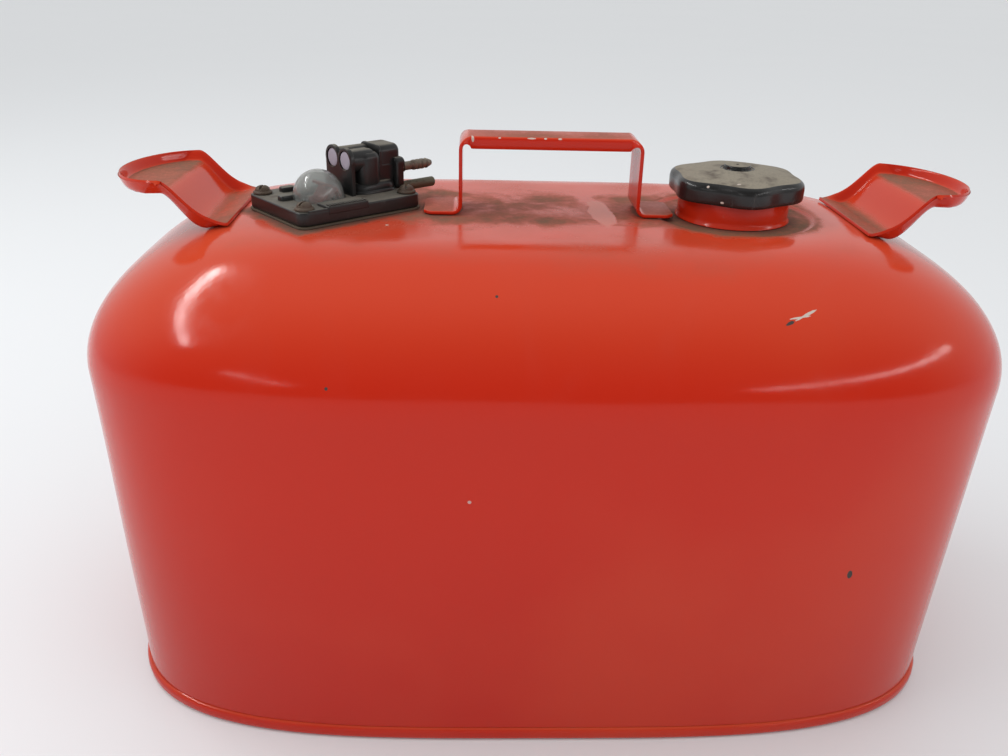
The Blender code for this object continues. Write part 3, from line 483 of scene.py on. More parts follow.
def makeEnamel(name, dust, steepest, onTop=False, chips=(), scrapes=()):
    # Glossy enamel with faded areas at random, painted shade that darkens it towards the bottom, a
    # painted sheen that lightens what faces up, dust on top, pale specks, chips to dark steel and
    # pale scrapes
    made, t, shader = material(name, colours["red"], 0.16)
    place = t.place()
    slow = t.noise(place, 5.0, 3.0, 0.5)
    height = t.split(place)[2]
    # Darker red towards the bottom of the can: painted shade
    lowShade = t.rise(t.sum("MULTIPLY_ADD", slow, 0.05, height), 0.02, 0.19, 0.75, 0.0)
    colour = t.mix(lowShade, rgba("red"), rgba("redShaded"))
    normal = t.split(t.add("ShaderNodeNewGeometry").outputs["Normal"])[2]
    # What faces up turns towards the paler red: a painted sheen; the slow noise adds real fading at
    # random
    upwardSheen = t.sum("MULTIPLY", t.rise(normal, 0.25, 0.95), 0.55)
    fadeAndSheen = t.sum("MULTIPLY_ADD", t.rise(slow, 0.45, 0.7), 0.28, upwardSheen)
    colour = t.mix(fadeAndSheen, colour, rgba("redFadedAndSheen"))
    dustOut = t.group(dustGroup, {"amount": dust, "steepest": steepest})
    mask, grains = dustOut["mask"], dustOut["grains"]
    dustColour = t.mix(t.rise(t.noise(place, 60.0, 6.0, 0.65), 0.35, 0.65), rgba("dustOlive"),
                       rgba("dustTan"))
    if onTop:
        heavy, nearPartsDustAndShade, palePatch = topDust(t, place, grains)
        mask = t.sum("MAXIMUM", t.sum("MULTIPLY", mask, 0.55), heavy)
        colour = t.mix(t.sum("MULTIPLY", palePatch, 0.6), colour, rgba("pinkish"))
        # The dust is darkened close to the parts: painted contact shade
        dustColour = t.mix(t.sum("MULTIPLY", nearPartsDustAndShade, t.rise(grains, 0.2, 0.8, 0.85, 0.5)),
                           dustColour, rgba("dustDark"))
    colour = t.mix(t.sum("MULTIPLY", mask, 0.93), colour, dustColour)
    specks = t.group(speckGroup, {"scale": 48.0, "size": 0.045, "share": 0.16})["mask"]
    colour = t.mix(t.sum("MULTIPLY", specks, 0.7), colour, rgba("chipPale"))
    rough = t.blendNumber(mask, t.rise(t.group(peelGroup)["smear"], 0.45, 0.8, 0.12, 0.27), 0.85)
    if scrapes:
        scraped = t.most([t.patch(place, *mark) for mark in scrapes])
        colour = t.mix(scraped, colour, rgba("chipPale"))
        rough = t.blendNumber(scraped, rough, 0.6)
    if chips:
        chipped = t.most([t.patch(place, *mark) for mark in chips])
        colour = t.mix(chipped, colour, rgba("bareSteel"))
        rough = t.blendNumber(chipped, rough, 0.7)
    t.tree.links.new(colour, shader.inputs["Base Color"])
    t.tree.links.new(rough, shader.inputs["Roughness"])
    shader.inputs["Specular IOR Level"].default_value = 0.3
    relief = t.sum("MULTIPLY_ADD", t.sum("MULTIPLY", mask, grains), 2.0,
                   t.group(peelGroup)["height"])
    if chips:
        relief = t.sum("MULTIPLY_ADD", chipped, -2.5, relief)
    bumpTo(t, shader, relief, 0.00009, 0.35)
    return made


def makePlastic(name, colour, roughness, dust, steepest, grime="dustOlive", chips=()):
    # Moulded plastic, greyed with dust on top, scuffed, and pale at knocked edges
    made, t, shader = material(name, colours[colour], roughness)
    place = t.place()
    dustOut = t.group(dustGroup, {"amount": dust, "steepest": steepest, "blotch": 45.0,
                                  "grain": 900.0})
    scuff = t.rise(t.noise(t.moved(place, (0, 0, 0), 35, (1, 1, 4)), 120.0, 8.0, 0.75, 0.4),
                   0.56, 0.75)
    base = t.mix(t.sum("MULTIPLY", scuff, 0.16), (*colours[colour], 1), rgba("primer"))
    tone = t.mix(t.rise(t.noise(place, 90.0, 5.0, 0.6), 0.45, 0.8), rgba(grime), rgba("dustDark"))
    base = t.mix(t.sum("MULTIPLY", dustOut["mask"], 0.88), base, tone)
    rough = t.blendNumber(dustOut["mask"], t.rise(scuff, 0.0, 1.0, roughness, roughness + 0.25),
                          0.85)
    if chips:
        base = t.mix(t.most([t.patch(place, *mark) for mark in chips]), base, rgba("chipPale"))
    t.tree.links.new(base, shader.inputs["Base Color"])
    t.tree.links.new(rough, shader.inputs["Roughness"])
    relief = t.sum("MULTIPLY_ADD", dustOut["mask"], dustOut["grains"],
                   t.sum("MULTIPLY", t.noise(place, 700.0, 2.0), 0.5))
    bumpTo(t, shader, relief, 0.00012, 0.5)
    return made


def makeMetal(name, colour, second, roughness, stain, dust=0.3, metallic=1.0):
    # Dull plated or bare metal that has stained in spots
    made, t, shader = material(name, colours[colour], roughness, metallic)
    place = t.place()
    spots = t.rise(t.noise(place, 260.0, 7.0, 0.7), 0.62 - stain * 0.35, 0.72 - stain * 0.25)
    base = t.mix(spots, (*colours[colour], 1), (*colours[second], 1))
    dustOut = t.group(dustGroup, {"amount": dust, "steepest": 0.3, "blotch": 90.0, "grain": 900.0})
    t.tree.links.new(t.mix(t.sum("MULTIPLY", dustOut["mask"], 0.8), base, rgba("dustOlive")),
                     shader.inputs["Base Color"])
    covered = t.sum("MAXIMUM", spots, dustOut["mask"])
    t.tree.links.new(t.blendNumber(covered, metallic, 0.1), shader.inputs["Metallic"])
    t.tree.links.new(t.blendNumber(covered, roughness, 0.8), shader.inputs["Roughness"])
    bumpTo(t, shader, t.sum("ADD", spots, t.noise(place, 900.0, 3.0)), 0.0001, 0.5)
    return made


def makeRubber():
    made, t, shader = material("blackRubber", colours["rubber"], 0.8)
    place = t.place()
    grey = t.noise(place, 150.0, 6.0, 0.65)
    t.tree.links.new(t.mix(t.sum("MULTIPLY", grey, 0.5), rgba("rubber"), rgba("dustDark")),
                     shader.inputs["Base Color"])
    t.tree.links.new(t.rise(grey, 0.3, 0.7, 0.7, 0.95), shader.inputs["Roughness"])
    bumpTo(t, shader, t.noise(place, 1200.0, 3.0), 0.00005, 0.5)
    return made


def makeCork():
    made, t, shader = material("corkFloat", colours["cork"], 0.75)
    place = t.place()
    grain = t.add("ShaderNodeTexVoronoi", {"Vector": place, "Scale": 520.0}).outputs["Distance"]
    tone = t.mix(t.rise(t.noise(place, 240.0, 6.0, 0.7), 0.4, 0.65), rgba("cork"), rgba("rust"))
    t.tree.links.new(tone, shader.inputs["Base Color"])
    t.tree.links.new(t.rise(grain, 0.1, 0.7, 0.6, 0.9), shader.inputs["Roughness"])
    bumpTo(t, shader, grain, 0.0002, 0.6)
    return made


def makeLensPlastic():
    # Clear plastic with hazy patches and a few specks of dust
    made, t, shader = material("hazyLens", colours["lens"], 0.08)
    shader.inputs["Transmission Weight"].default_value = 0.80
    shader.inputs["IOR"].default_value = 1.49
    place = t.place()
    haze = t.noise(place, 85.0, 6.0, 0.65, 0.4)
    t.tree.links.new(t.rise(haze, 0.4, 0.75, 0.12, 0.32), shader.inputs["Roughness"])
    t.tree.links.new(t.mix(t.rise(haze, 0.55, 0.8, 0.0, 0.35), rgba("lens"), rgba("dustGrey")),
                     shader.inputs["Base Color"])
    bumpTo(t, shader, t.noise(place, 300.0, 2.0), 0.00003, 0.25)
    return made


# Chips and scrapes in mm: the place, the half sizes, the turn and how ragged the edge is

gripScrapes = [((x, -10.2, 284.7), (size, 0.7, 0.6), 0, 0.7)
               for x, size in ((-26.1, 0.9), (-10.2, 2.5), (-3.2, 0.9), (4.1, 1.0))]
gripScrapes += [((-39.3, -10.6, 284.0), (0.6, 3.5, 1.6), 12, 0.5)]
canChips = [((98.7, -107.1, 226.2), (2.4, 0.7, 2), 24, 0.9),
            ((144.3, -118.4, 101.0), (1.3, 3, 2.6), 0, 0.6),
            ((-91.5, -29.2, 246), (0.9, 0.8, 2), 0, 0.5),
            ((-99.8, -123.9, 200.2), (0.8, 2, 0.8), 0, 0.4),
            ((-28.1, -99.3, 233.8), (0.7, 0.7, 2), 0, 0.4)]
canScrapes = [((107.2, -103.0, 229.0), (7.5, 0.5, 3), 27, 1.2),
              ((103.0, -104.6, 228.0), (5.5, 0.35, 3), 12, 1.2),
              ((-80.8, -34.0, 246), (0.8, 0.8, 2), 0, 0.4)]
capChips = [((84.1, -28.9, 258.6), (0.9, 1.2, 0.6), 0, 0.7),
            ((91.7, -27.6, 267.6), (1.0, 0.5, 0.6), 10, 0.8),
            ((77.3, -24.6, 265.4), (1.1, 0.6, 0.5), 50, 0.8)]

materials = {
    "enamelCan": makeEnamel("enamelCan", 0.30, 0.86, True, canChips, canScrapes),
    "enamelPan": makeEnamel("enamelPan", 0.15, 0.6),
    "enamelHandle": makeEnamel("enamelHandle", 0.55, 0.9, scrapes=gripScrapes),
    "enamelFitting": makeEnamel("enamelFitting", 0.62, 0.70),
    "capPlastic": makePlastic("capPlastic", "blackPlastic", 0.25, 2.2, 0.90, "capDust", capChips),
    "unitPlastic": makePlastic("unitPlastic", "blackPlastic", 0.34, 0.66, 0.80, "dustGrey"),
    "rubber": makeRubber(),
    "dirtyGasket": makePlastic("dirtyGasket", "dustDark", 0.85, 0.9, -1.0),
    "zinc": makeMetal("dullZinc", "zinc", "dustDark", 0.42, 0.35),
    "rusty": makeMetal("rustySteel", "rust", "dustDark", 0.50, 0.5, 0.4, 0.6),
    "dullNipple": makeMetal("dullNipple", "dullSteel", "dustDark", 0.45, 0.35, 0.2, 0.6),
    "dullPin": makeMetal("dullPin", "oliveSteel", "dustDark", 0.5, 0.3, 0.2, 0.5),
    "brass": makeMetal("drawnBrass", "brass", "dustDark", 0.35, 0.2),
    "cork": makeCork(),
    "lens": makeLensPlastic(),
    "plug": makePlastic("plugPlastic", "plug", 0.5, 0.25, 0.5, "dustGrey"),
    "dial": makePlastic("dialRed", "dial", 0.5, 0.1, 0.8),
}


def finish(obj, name):
    obj.data.materials.clear()
    obj.data.materials.append(materials[name])
    return obj


print("materials built")


# Can

can = {
    "halfLength": 229.0, "halfWidth": 128.0, "height": 246.0, "power": 3.62, "taper": 4.9,
    "low": 7.9, "rim": 7.6, "shoulderEnd": 86.0, "shoulderSide": 70.7, "shoulderHeight": 61.8,
    "softness": 1.1, "sheet": 1.1, "steps": 288, "wallRows": 26, "shoulderRows": 32,
    "recessRadius": 44.5, "recessEdge": 6.0, "recessDepth": 1.6, "waves": 0.16,
    "fillerHole": 26.6,
}
neck = {
    "x": 97.7, "radius": 28.6, "top": 262.4, "wall": 1.4, "lipRadius": 22.6, "foot": 244.7,
    "flare": 1.0, "low": 240.8, "spigot": 26.2, "notch": 15.6, "notchTurn": 35.0, "steps": 160,
}
unitFrame = frameAt((-109.3, -8.6, 246.0), 40.0)
shoulderZ = can["height"] - can["shoulderHeight"]


def planOutline(steps):
    # Points of |x|^p + |y|^p = 1, evenly spaced along the outline of the can
    fine = np.linspace(0, 2 * np.pi, 20001)
    radius = (np.abs(np.cos(fine)) ** can["power"] + np.abs(np.sin(fine)) ** can["power"]) ** (
        -1 / can["power"])
    x, y = radius * np.cos(fine), radius * np.sin(fine)
    length = np.concatenate([[0], np.cumsum(np.hypot(np.diff(x) * can["halfLength"],
                                                     np.diff(y) * can["halfWidth"]))])
    even = np.linspace(0, length[-1], steps, endpoint=False)
    return np.column_stack([np.interp(even, length, x), np.interp(even, length, y)])


outline = planOutline(can["steps"])


def planRings(along, across, z):
    along, across, z = (np.asarray(v, float)[:, None] for v in (along, across, z))
    return np.stack(np.broadcast_arrays(along * outline[:, 0], across * outline[:, 1], z), -1)


def canSkin():
    # Rings up the tapered wall, over a quarter ellipse and in across the flat top; the top is
    # pressed down round the filler, and the whole sheet waves a little along its normal
    up = np.linspace(0, 1, can["wallRows"], endpoint=False)
    wallZ = can["low"] + (shoulderZ - can["low"]) * up
    inset = can["taper"] * (1 - (wallZ - can["rim"]) / (shoulderZ - can["rim"]))
    turn = np.linspace(0, np.pi / 2, can["shoulderRows"])
    c = np.cos(turn).clip(0, 1)
    shoulderAlong = can["halfLength"] - can["shoulderEnd"] * (1 - c ** can["softness"])
    shoulderAcross = can["halfWidth"] - can["shoulderSide"] * (1 - c)
    shrink = np.concatenate([np.linspace(1, 0.34, 58)[1:], np.linspace(0.34, 0.02, 14)[1:]])
    along = np.concatenate([can["halfLength"] - inset, shoulderAlong,
                            shrink * shoulderAlong[-1]])
    across = np.concatenate([can["halfWidth"] - inset, shoulderAcross,
                             shrink * shoulderAcross[-1]])
    z = np.concatenate([wallZ, shoulderZ + can["shoulderHeight"] * np.sin(turn),
                        np.full(len(shrink), can["height"])])
    rings = planRings(along, across, z)
    rowStep = np.gradient(rings, axis=0)
    columnStep = (np.roll(rings, -1, 1) - np.roll(rings, 1, 1)) / 2
    normal = np.cross(columnStep, rowStep)
    normal /= np.maximum(np.linalg.norm(normal, axis=-1, keepdims=True), 1e-9)
    x, y, height = rings[..., 0], rings[..., 1], rings[..., 2]
    wave = (np.sin(x / 31 + y / 47 + 0.7) * np.sin(height / 29 - x / 83)
            + 0.6 * np.sin(x / 17 - height / 41 + 2.1) * np.sin(y / 23 + height / 37))
    fadeOut = ease((can["height"] - height) / 12) * ease((height - can["low"]) / 20)
    rings = rings + normal * (can["waves"] * (wave - 1.6) * fadeOut)[..., None]
    away = np.hypot(x - neck["x"], y)
    press = can["recessDepth"] * (1 - ease((away - can["recessRadius"] + can["recessEdge"])
                                           / can["recessEdge"]))
    rings[..., 2] -= press * (height > can["height"] - 25)
    tip = np.array([[[0, 0, can["height"]]]])
    points = np.concatenate([rings.reshape(-1, 3), tip.reshape(-1, 3)])
    rows, columns = rings.shape[:2]
    faces = gridFaces(rows, columns).tolist()
    k = np.arange(columns) + (rows - 1) * columns
    faces += np.stack([k, np.roll(k, -1), np.full(columns, rows * columns)], -1).tolist()
    skin = meshPiece("canSkin", points, faces)
    wall(skin, can["sheet"])
    filler = rod("fillerHole", (neck["x"], 0, 230), (neck["x"], 0, 260), can["fillerHole"], 0.01,
                 np.eye(4), 96)
    window = block("gaugeWindow", (-24.8, -13.5, -12), (24.8, 13.5, 12), 6.0, 0.01, unitFrame)
    combine(skin, (), (filler, window))
    return finish(stands(skin, "tank", "red_enamel", "tank_shell"), "enamelCan")


def panRim():
    # The pan's section carried round the can's outline
    section = [(12, 4.4), (8.4, 3.9), (6.6, 0.6), (5.8, 0), (1.0, 0), (-0.9, 0.9), (-1.5, 2.6),
               (-1.5, 5.6), (-0.8, 7.2), (0.2, 7.6), (1.5, 7.6), (1.5, 12), (2.6, 12),
               (2.6, 6.4), (3.8, 1.2), (5.4, 1.2), (7.4, 5.0), (12, 5.5)]
    line = roundedLine(section, 0.7, 4)
    along = can["halfLength"] - can["taper"] - line[:, 0]
    across = can["halfWidth"] - can["taper"] - line[:, 0]
    rim = ringPiece("panRim", planRings(along, across, line[:, 1]), angle=50)
    return finish(stands(rim, "tank", "red_enamel", "base_pan"), "enamelPan")


canSkin()
panRim()
print("can and pan built")


# Handle

strap = {
    "half": 46.2, "width": 29.4, "top": 285.0, "foot": 248.1, "sheet": 1.8, "tab": 17.8,
    "bend": 6.0, "ankle": 3.4, "lip": 6.2, "clip": 3.2, "narrow": 4.4,
}


def strapLine():
    # Half of the outer line in X and Z: grip, bend, leg, ankle and foot
    half, top, foot = strap["half"], strap["top"], strap["foot"]
    grip = np.column_stack([np.linspace(0, -half + strap["bend"], 26, endpoint=False),
                            np.full(26, top)])
    turn = np.radians(np.linspace(90, 180, 12))
    corner = np.column_stack([-half + strap["bend"] + strap["bend"] * np.cos(turn),
                              top - strap["bend"] + strap["bend"] * np.sin(turn)])
    leg = np.column_stack([np.full(10, -half),
                           np.linspace(top - strap["bend"], foot + strap["ankle"], 12)[1:-1]])
    turn = np.radians(np.linspace(0, -90, 9))
    ankle = np.column_stack([-half - strap["ankle"] + strap["ankle"] * np.cos(turn),
                             foot + strap["ankle"] + strap["ankle"] * np.sin(turn)])
    end = -half - strap["tab"]
    tab = np.column_stack([np.linspace(-half - strap["ankle"], end, 12)[1:], np.full(11, foot)])
    return np.concatenate([grip, corner, leg, ankle, tab])


def handleStrap():
    # A strap section carried along the line: quarter circles at the outer corners, and edges
    # that fold down along the grip and fade out on the legs
    line = strapLine()
    whole = np.concatenate([line[:0:-1] * [-1, 1], line])
    step = np.gradient(whole, axis=0)
    step /= np.linalg.norm(step, axis=1, keepdims=True)
    inward = np.column_stack([-step[:, 1], step[:, 0]])
    x = np.abs(whole[:, :1])
    onGrip = ease((strap["half"] - 0.6 - x) / 6)
    sheet, edge, root = strap["sheet"], 0.5, 0.8
    lip = sheet + (strap["lip"] - sheet) * onGrip
    fold = 0.7 + 0.7 * onGrip
    end = strap["half"] + strap["tab"]
    half = (strap["width"] / 2 - strap["narrow"] * onGrip
            - np.clip(x - end + strap["clip"], 0, None))
    quarter = np.radians(np.linspace(0, 90, 6))[None]
    round1 = np.radians(np.linspace(0, 90, 4))[None]
    zero = np.zeros_like(half)
    across = np.hstack([zero, half - fold + fold * np.sin(quarter),
                        half - sheet / 2 * (1 - np.cos(round1)),
                        half - sheet / 2 * (1 + np.sin(round1)),
                        half - sheet - root * (1 - np.cos(round1[:, 1:])), zero])
    down = np.hstack([zero, fold - fold * np.cos(quarter),
                      lip - edge * (1 - np.sin(round1)),
                      lip - edge * onGrip * (1 - np.cos(round1)),
                      sheet + root * onGrip * (1 - np.sin(round1[:, 1:])), zero + sheet])
    across = np.hstack([across, -across[:, -2:0:-1]])
    down = np.hstack([down, down[:, -2:0:-1]])
    rings = np.stack([whole[:, :1] + inward[:, :1] * down, across,
                      whole[:, 1:] + inward[:, 1:] * down], -1)
    obj = ringPiece("handleStrap", rings, angle=45)
    return finish(stands(obj, "tank", "red_enamel", "handle"), "enamelHandle")


handleStrap()


# Hose hooks

hook = {
    "start": 157.4, "reach": 59.0, "straight": 29.6, "width": 73.0, "sheet": 1.5, "tray": 13.6,
    "lip": 5.2, "rampStart": 10.0, "rampEnd": 31.0, "gap": 0.3,
}


def canTop(x):
    # Height of the can on its long middle line
    share = np.clip((can["halfLength"] - np.abs(x)) / can["shoulderEnd"], 0, 1)
    turn = np.arccos((1 - share) ** (1 / can["softness"]))
    return shoulderZ + can["shoulderHeight"] * np.sin(turn)


def hoseHook(name, node, side):
    # Floor height: the can's line, eased up a ramp to the tray. The rim rises near the outline,
    # which is straight at the can and half an ellipse at the outer end
    q = np.sin(np.linspace(-np.pi / 2, np.pi / 2, 61))[None]
    share = (1 - (1 - np.linspace(0, 1, 60)) ** 1.5)[:, None]
    half = hook["width"] / 2
    reach = hook["straight"] + (hook["reach"] - hook["straight"]) * np.sqrt(1 - q * q)
    run = share * reach
    x = hook["start"] + run
    y = np.broadcast_to(q * half, x.shape)
    climb = ease((run - hook["rampStart"]) / (hook["rampEnd"] - hook["rampStart"]))
    rest = canTop(x) + hook["gap"] + hook["sheet"]
    fall = 1.2 * np.clip(run - hook["rampEnd"], 0, None) / 35
    tray = can["height"] + hook["tray"] + hook["sheet"] - fall
    floor = rest * (1 - climb) + tray * climb
    inside = np.minimum((1 - np.abs(q)) * half * np.ones_like(x), (1 - share) * reach)
    lip = hook["lip"] * ease(run / 14) + 1.6 * np.exp(-((run - 17) / 7) ** 2)
    z = floor + lip * (1 - ease(inside / 3.4)) * ease(run / 3)
    points = np.stack([side * x, y, z], -1)
    rows, columns = points.shape[:2]
    obj = meshPiece(name, points.reshape(-1, 3), gridFaces(rows, columns, False).tolist(), 60)
    up = obj.data.polygons[(rows // 2) * (columns - 1) + columns // 2].normal[2]
    wall(obj, hook["sheet"], -1.0 if up > 0 else 1.0)
    settle(obj)
    softEdges(obj, 0.45, 2, 50)
    settle(obj, 50)
    return finish(stands(obj, "tank", "red_enamel", node), "enamelFitting")


hoseHook("hookLeft", "hose_hook_left", -1)
hoseHook("hookRight", "hose_hook_right", 1)
print("handle and hooks built")


# Filler and cap

def neckCollar():
    # A turned collar with a lip that is open at two notches
    r, top, t, foot = neck["radius"], neck["top"], neck["wall"], neck["foot"]
    section = [(neck["lipRadius"], top), (r, top), (r, foot + 2.2), (r + neck["flare"], foot + 0.3),
               (r + neck["flare"], foot), (neck["spigot"], foot), (neck["spigot"], neck["low"]),
               (neck["spigot"] - t, neck["low"]), (neck["spigot"] - t, foot + 1.2),
               (r - t, foot + 3.4), (r - t, top - 1.6), (neck["lipRadius"], top - 1.6)]
    collar = turnedPiece("neckCollar", section, frameAt((neck["x"], 0, 0)), neck["steps"], 0.8,
                         True)
    notch = block("notches", (-r + 1.9, -neck["notch"] / 2, top - 3),
                  (r - 1.9, neck["notch"] / 2, top + 3), 0.02, 0.01,
                  frameAt((neck["x"], 0, 0), neck["notchTurn"]))
    combine(collar, (), (notch,))
    return finish(stands(collar, "tank", "red_enamel", "filler_neck"), "enamelFitting")


cap = {
    "radius": 33.4, "wave": 1.7, "lobes": 6, "skirt": 256.5, "ceiling": 264.8, "steps": 288,
    "chamber": 6.4, "vent": 0.8,
}


def capCover():
    # Rings of r + w cos(6a), the wave fading towards the middle; a step and a button on top
    r, low, high = cap["radius"], cap["skirt"], cap["ceiling"]
    section = np.array([
        (cap["chamber"], high + 3.8, 0), (cap["chamber"], high, 0), (30.4, high, 0),
        (30.4, low + 0.8, 0), (31.0, low, 0.4), (r - 0.6, low, 1), (r, low + 1.2, 1),
        (r + 0.1, high - 1.4, 1), (r - 0.5, high + 0.7, 1), (r - 2.0, high + 2.0, 0.9),
        (28, high + 2.8, 0.55), (22, high + 4.0, 0.2), (14, high + 4.9, 0), (8.9, high + 5.2, 0),
        (8.1, high + 4.5, 0), (7.0, high + 4.6, 0), (6.8, high + 6.6, 0), (6.1, high + 7.0, 0),
        (3.0, high + 6.9, 0)])
    line = roundedLine(section, 0.9, 5)
    turn = np.linspace(0, 2 * np.pi, cap["steps"], endpoint=False)
    wave = cap["wave"] * np.cos(cap["lobes"] * (turn + np.pi / 2))
    radius = line[:, :1] + line[:, 2:] * wave
    rings = np.stack([neck["x"] + radius * np.cos(turn), radius * np.sin(turn),
                      np.broadcast_to(line[:, 1:2], radius.shape)], -1)
    cover = ringPiece("capCover", rings)
    vent = rod("ventHole", (neck["x"], 0, high), (neck["x"], 0, high + 12), cap["vent"], 0.01,
               np.eye(4), 24)
    combine(cover, (), (vent,))
    return finish(stands(cover, "cap", "black_plastic", "cap_shell"), "capPlastic")


neckCollar()
capCover()
print("filler and cap built")


# Gauge and outlet unit, in its own frame: U along it, V across it and W up from the can

unit = {
    "low": (-33.0, -22.9), "high": (38.2, 29.9), "base": 1.4, "top": 8.0, "corner": 5.0,
    "screws": [(-27.4, -16.9), (32.6, -16.9), (32.6, 23.9), (-27.4, 23.9)],
    "slots": (18, 50, 152, 219), "head": 4.8, "headRise": 3.9,
    "towerV": 3.8, "barrelGap": 11.6, "barrelW": 24.9, "faceU": 5.4, "pocket": 4.9,
    "nippleV": -1.4, "nippleW": 17.7, "pinW": 7.3, "outletFace": 40.9,
    "lens": (-8.5, 1.5), "lensRadius": 12.8, "lensRise": 14.0, "lensWall": 1.3,
}


def unitBody():
    # Round-cornered blocks and bars made one solid, then the pockets and bores cut
    f = unitFrame
    top, face, w = unit["top"], unit["faceU"], unit["barrelW"]
    tower, lensR = unit["towerV"], unit["lensRadius"]
    front = tower - unit["barrelGap"] / 2
    back = tower + unit["barrelGap"] / 2
    out, nv, nw = unit["outletFace"], unit["nippleV"], unit["nippleW"]
    (lu, lv), (hu, hv) = unit["low"], unit["high"]
    base = block("unitBody", (lu, lv, unit["base"]), (hu, hv, top), unit["corner"], 0.8, f)
    added = [
        block("boss", (8.2, -8.5, top - 2), (34.6, 12.5, 13.2), 8.0, 2.8, f),
        block("bossFoot", (7.3, -9.4, top - 2), (35.5, 13.4, 9.7), 8.9, 1.5, f),
        block("scaleStrip", (-17.8, lv - 0.3, top - 2.4), (5.2, -12.4, top + 1.3), 0.6, 0.45, f),
        block("frontLip", (lu + 4.6, lv + 0.1, top - 1), (-17.0, lv + 1.5, top + 0.7), 0.6, 0.4, f),
        block("lugOne", (-28.2, 3.4, top - 1), (-20.6, 8.6, top + 2.4), 1.8, 0.8, f),
        block("lugTwo", (-18.6, 19.0, top - 1), (-10.6, 24.4, top + 2.4), 1.8, 0.8, f),
        block("towerBody", (12.5, -4.4, top - 1.2), (37.2, 12.0, 21.4), 3.0, 1.4, f),
        block("towerShoulder", (11.2, -8.1, 10.1), (24.7, 3.0, 28.3), 5.0, 3.2, f),
        block("facePlate", (face, front - 6.1, top - 0.7), (face + 2.4, back + 6.1, w + 1.1), 0.8,
              0.4, f, "X"),
        rod("lobeFront", (face + 0.03, front, w), (face + 2.43, front, w), 6.4, 0.4, f, 72),
        rod("lobeBack", (face + 0.03, back, w), (face + 2.43, back, w), 6.4, 0.4, f, 72),
        rod("barrelFront", (face + 1, front, w - 0.6), (22.0, front, w - 0.6), 5.5, 2.4, f, 56),
        rod("barrelBack", (face + 1, back, w - 0.6), (26.5, back, w - 0.6), 5.5, 2.4, f, 56),
        block("barrelWeb", (face + 1.3, front + 0.7, 10.6), (23.6, back - 0.9, w + 3.7), 1.0, 0.9,
              f),
        block("hump", (25.2, tower - 7.9, 14.0), (38.4, tower + 9.7, 30.5),
              4.0, 2.2, f, "X"),
        block("humpRing", (24.9, tower - 8.2, 13.0), (26.7, tower + 10.0, 30.9),
              4.3, 0.5, f, "X"),
        block("outletBlock", (33.3, nv - 6.4, top - 0.5), (out - 1.7, nv + 6.9, 23.9), 3.3, 1.2, f,
              "X"),
        block("outletFlange", (out - 3.3, nv - 6.8, 3.3), (out, nv + 7.5, nw + 5.1), 4.4, 0.6, f,
              "X"),
    ]
    added += [block("tick", (u - 0.42, lv + 0.3, top - 1), (u + 0.42, -19.4, top + 1.9), 0.15,
                    0.12, f) for u in np.linspace(-16.4, 3.8, 15)]
    lensU, lensV = unit["lens"]
    pocket = unit["pocket"]
    removed = [
        rod("sealPocket", (lensU, lensV, top - 1.7), (lensU, lensV, top - 0.5),
            lensR + 1.7, 0.01, f, 72),
        rod("lensPocket", (lensU, lensV, top - 1.0), (lensU, lensV, top + 2),
            lensR + 0.6, 0.01, f, 72),
        block("gaugeSlot", (lensU - 11.2, lensV - 10.6, -2), (lensU + 11.2, lensV + 10.6, top + 3),
              5.0, 0.01, f),
        rod("pocketFront", (face - 2, front, w), (face + 1.9, front, w), pocket, 0.01, f, 64),
        rod("pocketBack", (face - 2, back, w), (face + 1.9, back, w), pocket, 0.01, f, 64),
        rod("nippleHole", (out - 6.5, nv, nw), (out + 3, nv, nw), 2.5, 0.01, f, 32),
        rod("pinHole", (out - 5, nv, unit["pinW"]), (out + 3, nv, unit["pinW"]), 2.9, 0.01, f, 32),
    ]
    removed += [rod("screwHole", (u, v, -2), (u, v, top + 3), 2.3, 0.01, f, 24)
                for u, v in unit["screws"]]
    combine(base, added, removed, 30)
    return finish(stands(base, "tank", "black_plastic", "upper_housing"), "unitPlastic")


def lensDome():
    # An outer and an inner half ellipse joined by a narrow flange
    top = unit["top"]
    low, base = top - 0.4, top + 0.3
    rise = top + unit["lensRise"] - base
    turn = np.radians(np.linspace(90, 0, 24))
    r, t = unit["lensRadius"], unit["lensWall"]
    outer = np.column_stack([r * np.cos(turn), base + rise * np.sin(turn)])
    inner = np.column_stack([(r - t) * np.cos(turn), base + (rise - t) * np.sin(turn)])[::-1]
    flange = [(r + 0.4, base), (r + 0.4, low), (r - t, low)]
    section = np.concatenate([outer, flange, inner])
    rings = placed(turnedRings(section, 96), unitFrame @ frameAt((*unit["lens"], 0)))
    lens = ringPiece("lensDome", rings, caps=False)
    return finish(stands(lens, "tank", "clear_plastic", "gauge_lens"), "lens")


def screw(index, place, slotTurn):
    # A high domed head on a plain shank, with a slot across it
    under = unit["top"] + 0.3
    top, r = under + unit["headRise"], unit["head"]
    section = [(0, top), (1.7, top - 0.15), (2.9, top - 0.7), (3.6, top - 1.6), (3.8, top - 2.5),
               (r - 0.3, under + 1.1), (r, under + 0.7), (r, under), (1.9, under), (1.9, -6.4),
               (1.2, -7.6), (0, -7.6)]
    f = unitFrame @ frameAt((*place, 0))
    obj = turnedPiece("screw%d" % index, section, f, 56, 0.4)
    slot = block("slot", (-6, -0.55, top - 1.5), (6, 0.55, top + 2), 0.02, 0.01,
                 f @ frameAt((0, 0, 0), slotTurn))
    combine(obj, (), (slot,))
    return finish(stands(obj, "tank", "rusty_steel", "housing_screw_%d" % index), "rusty")


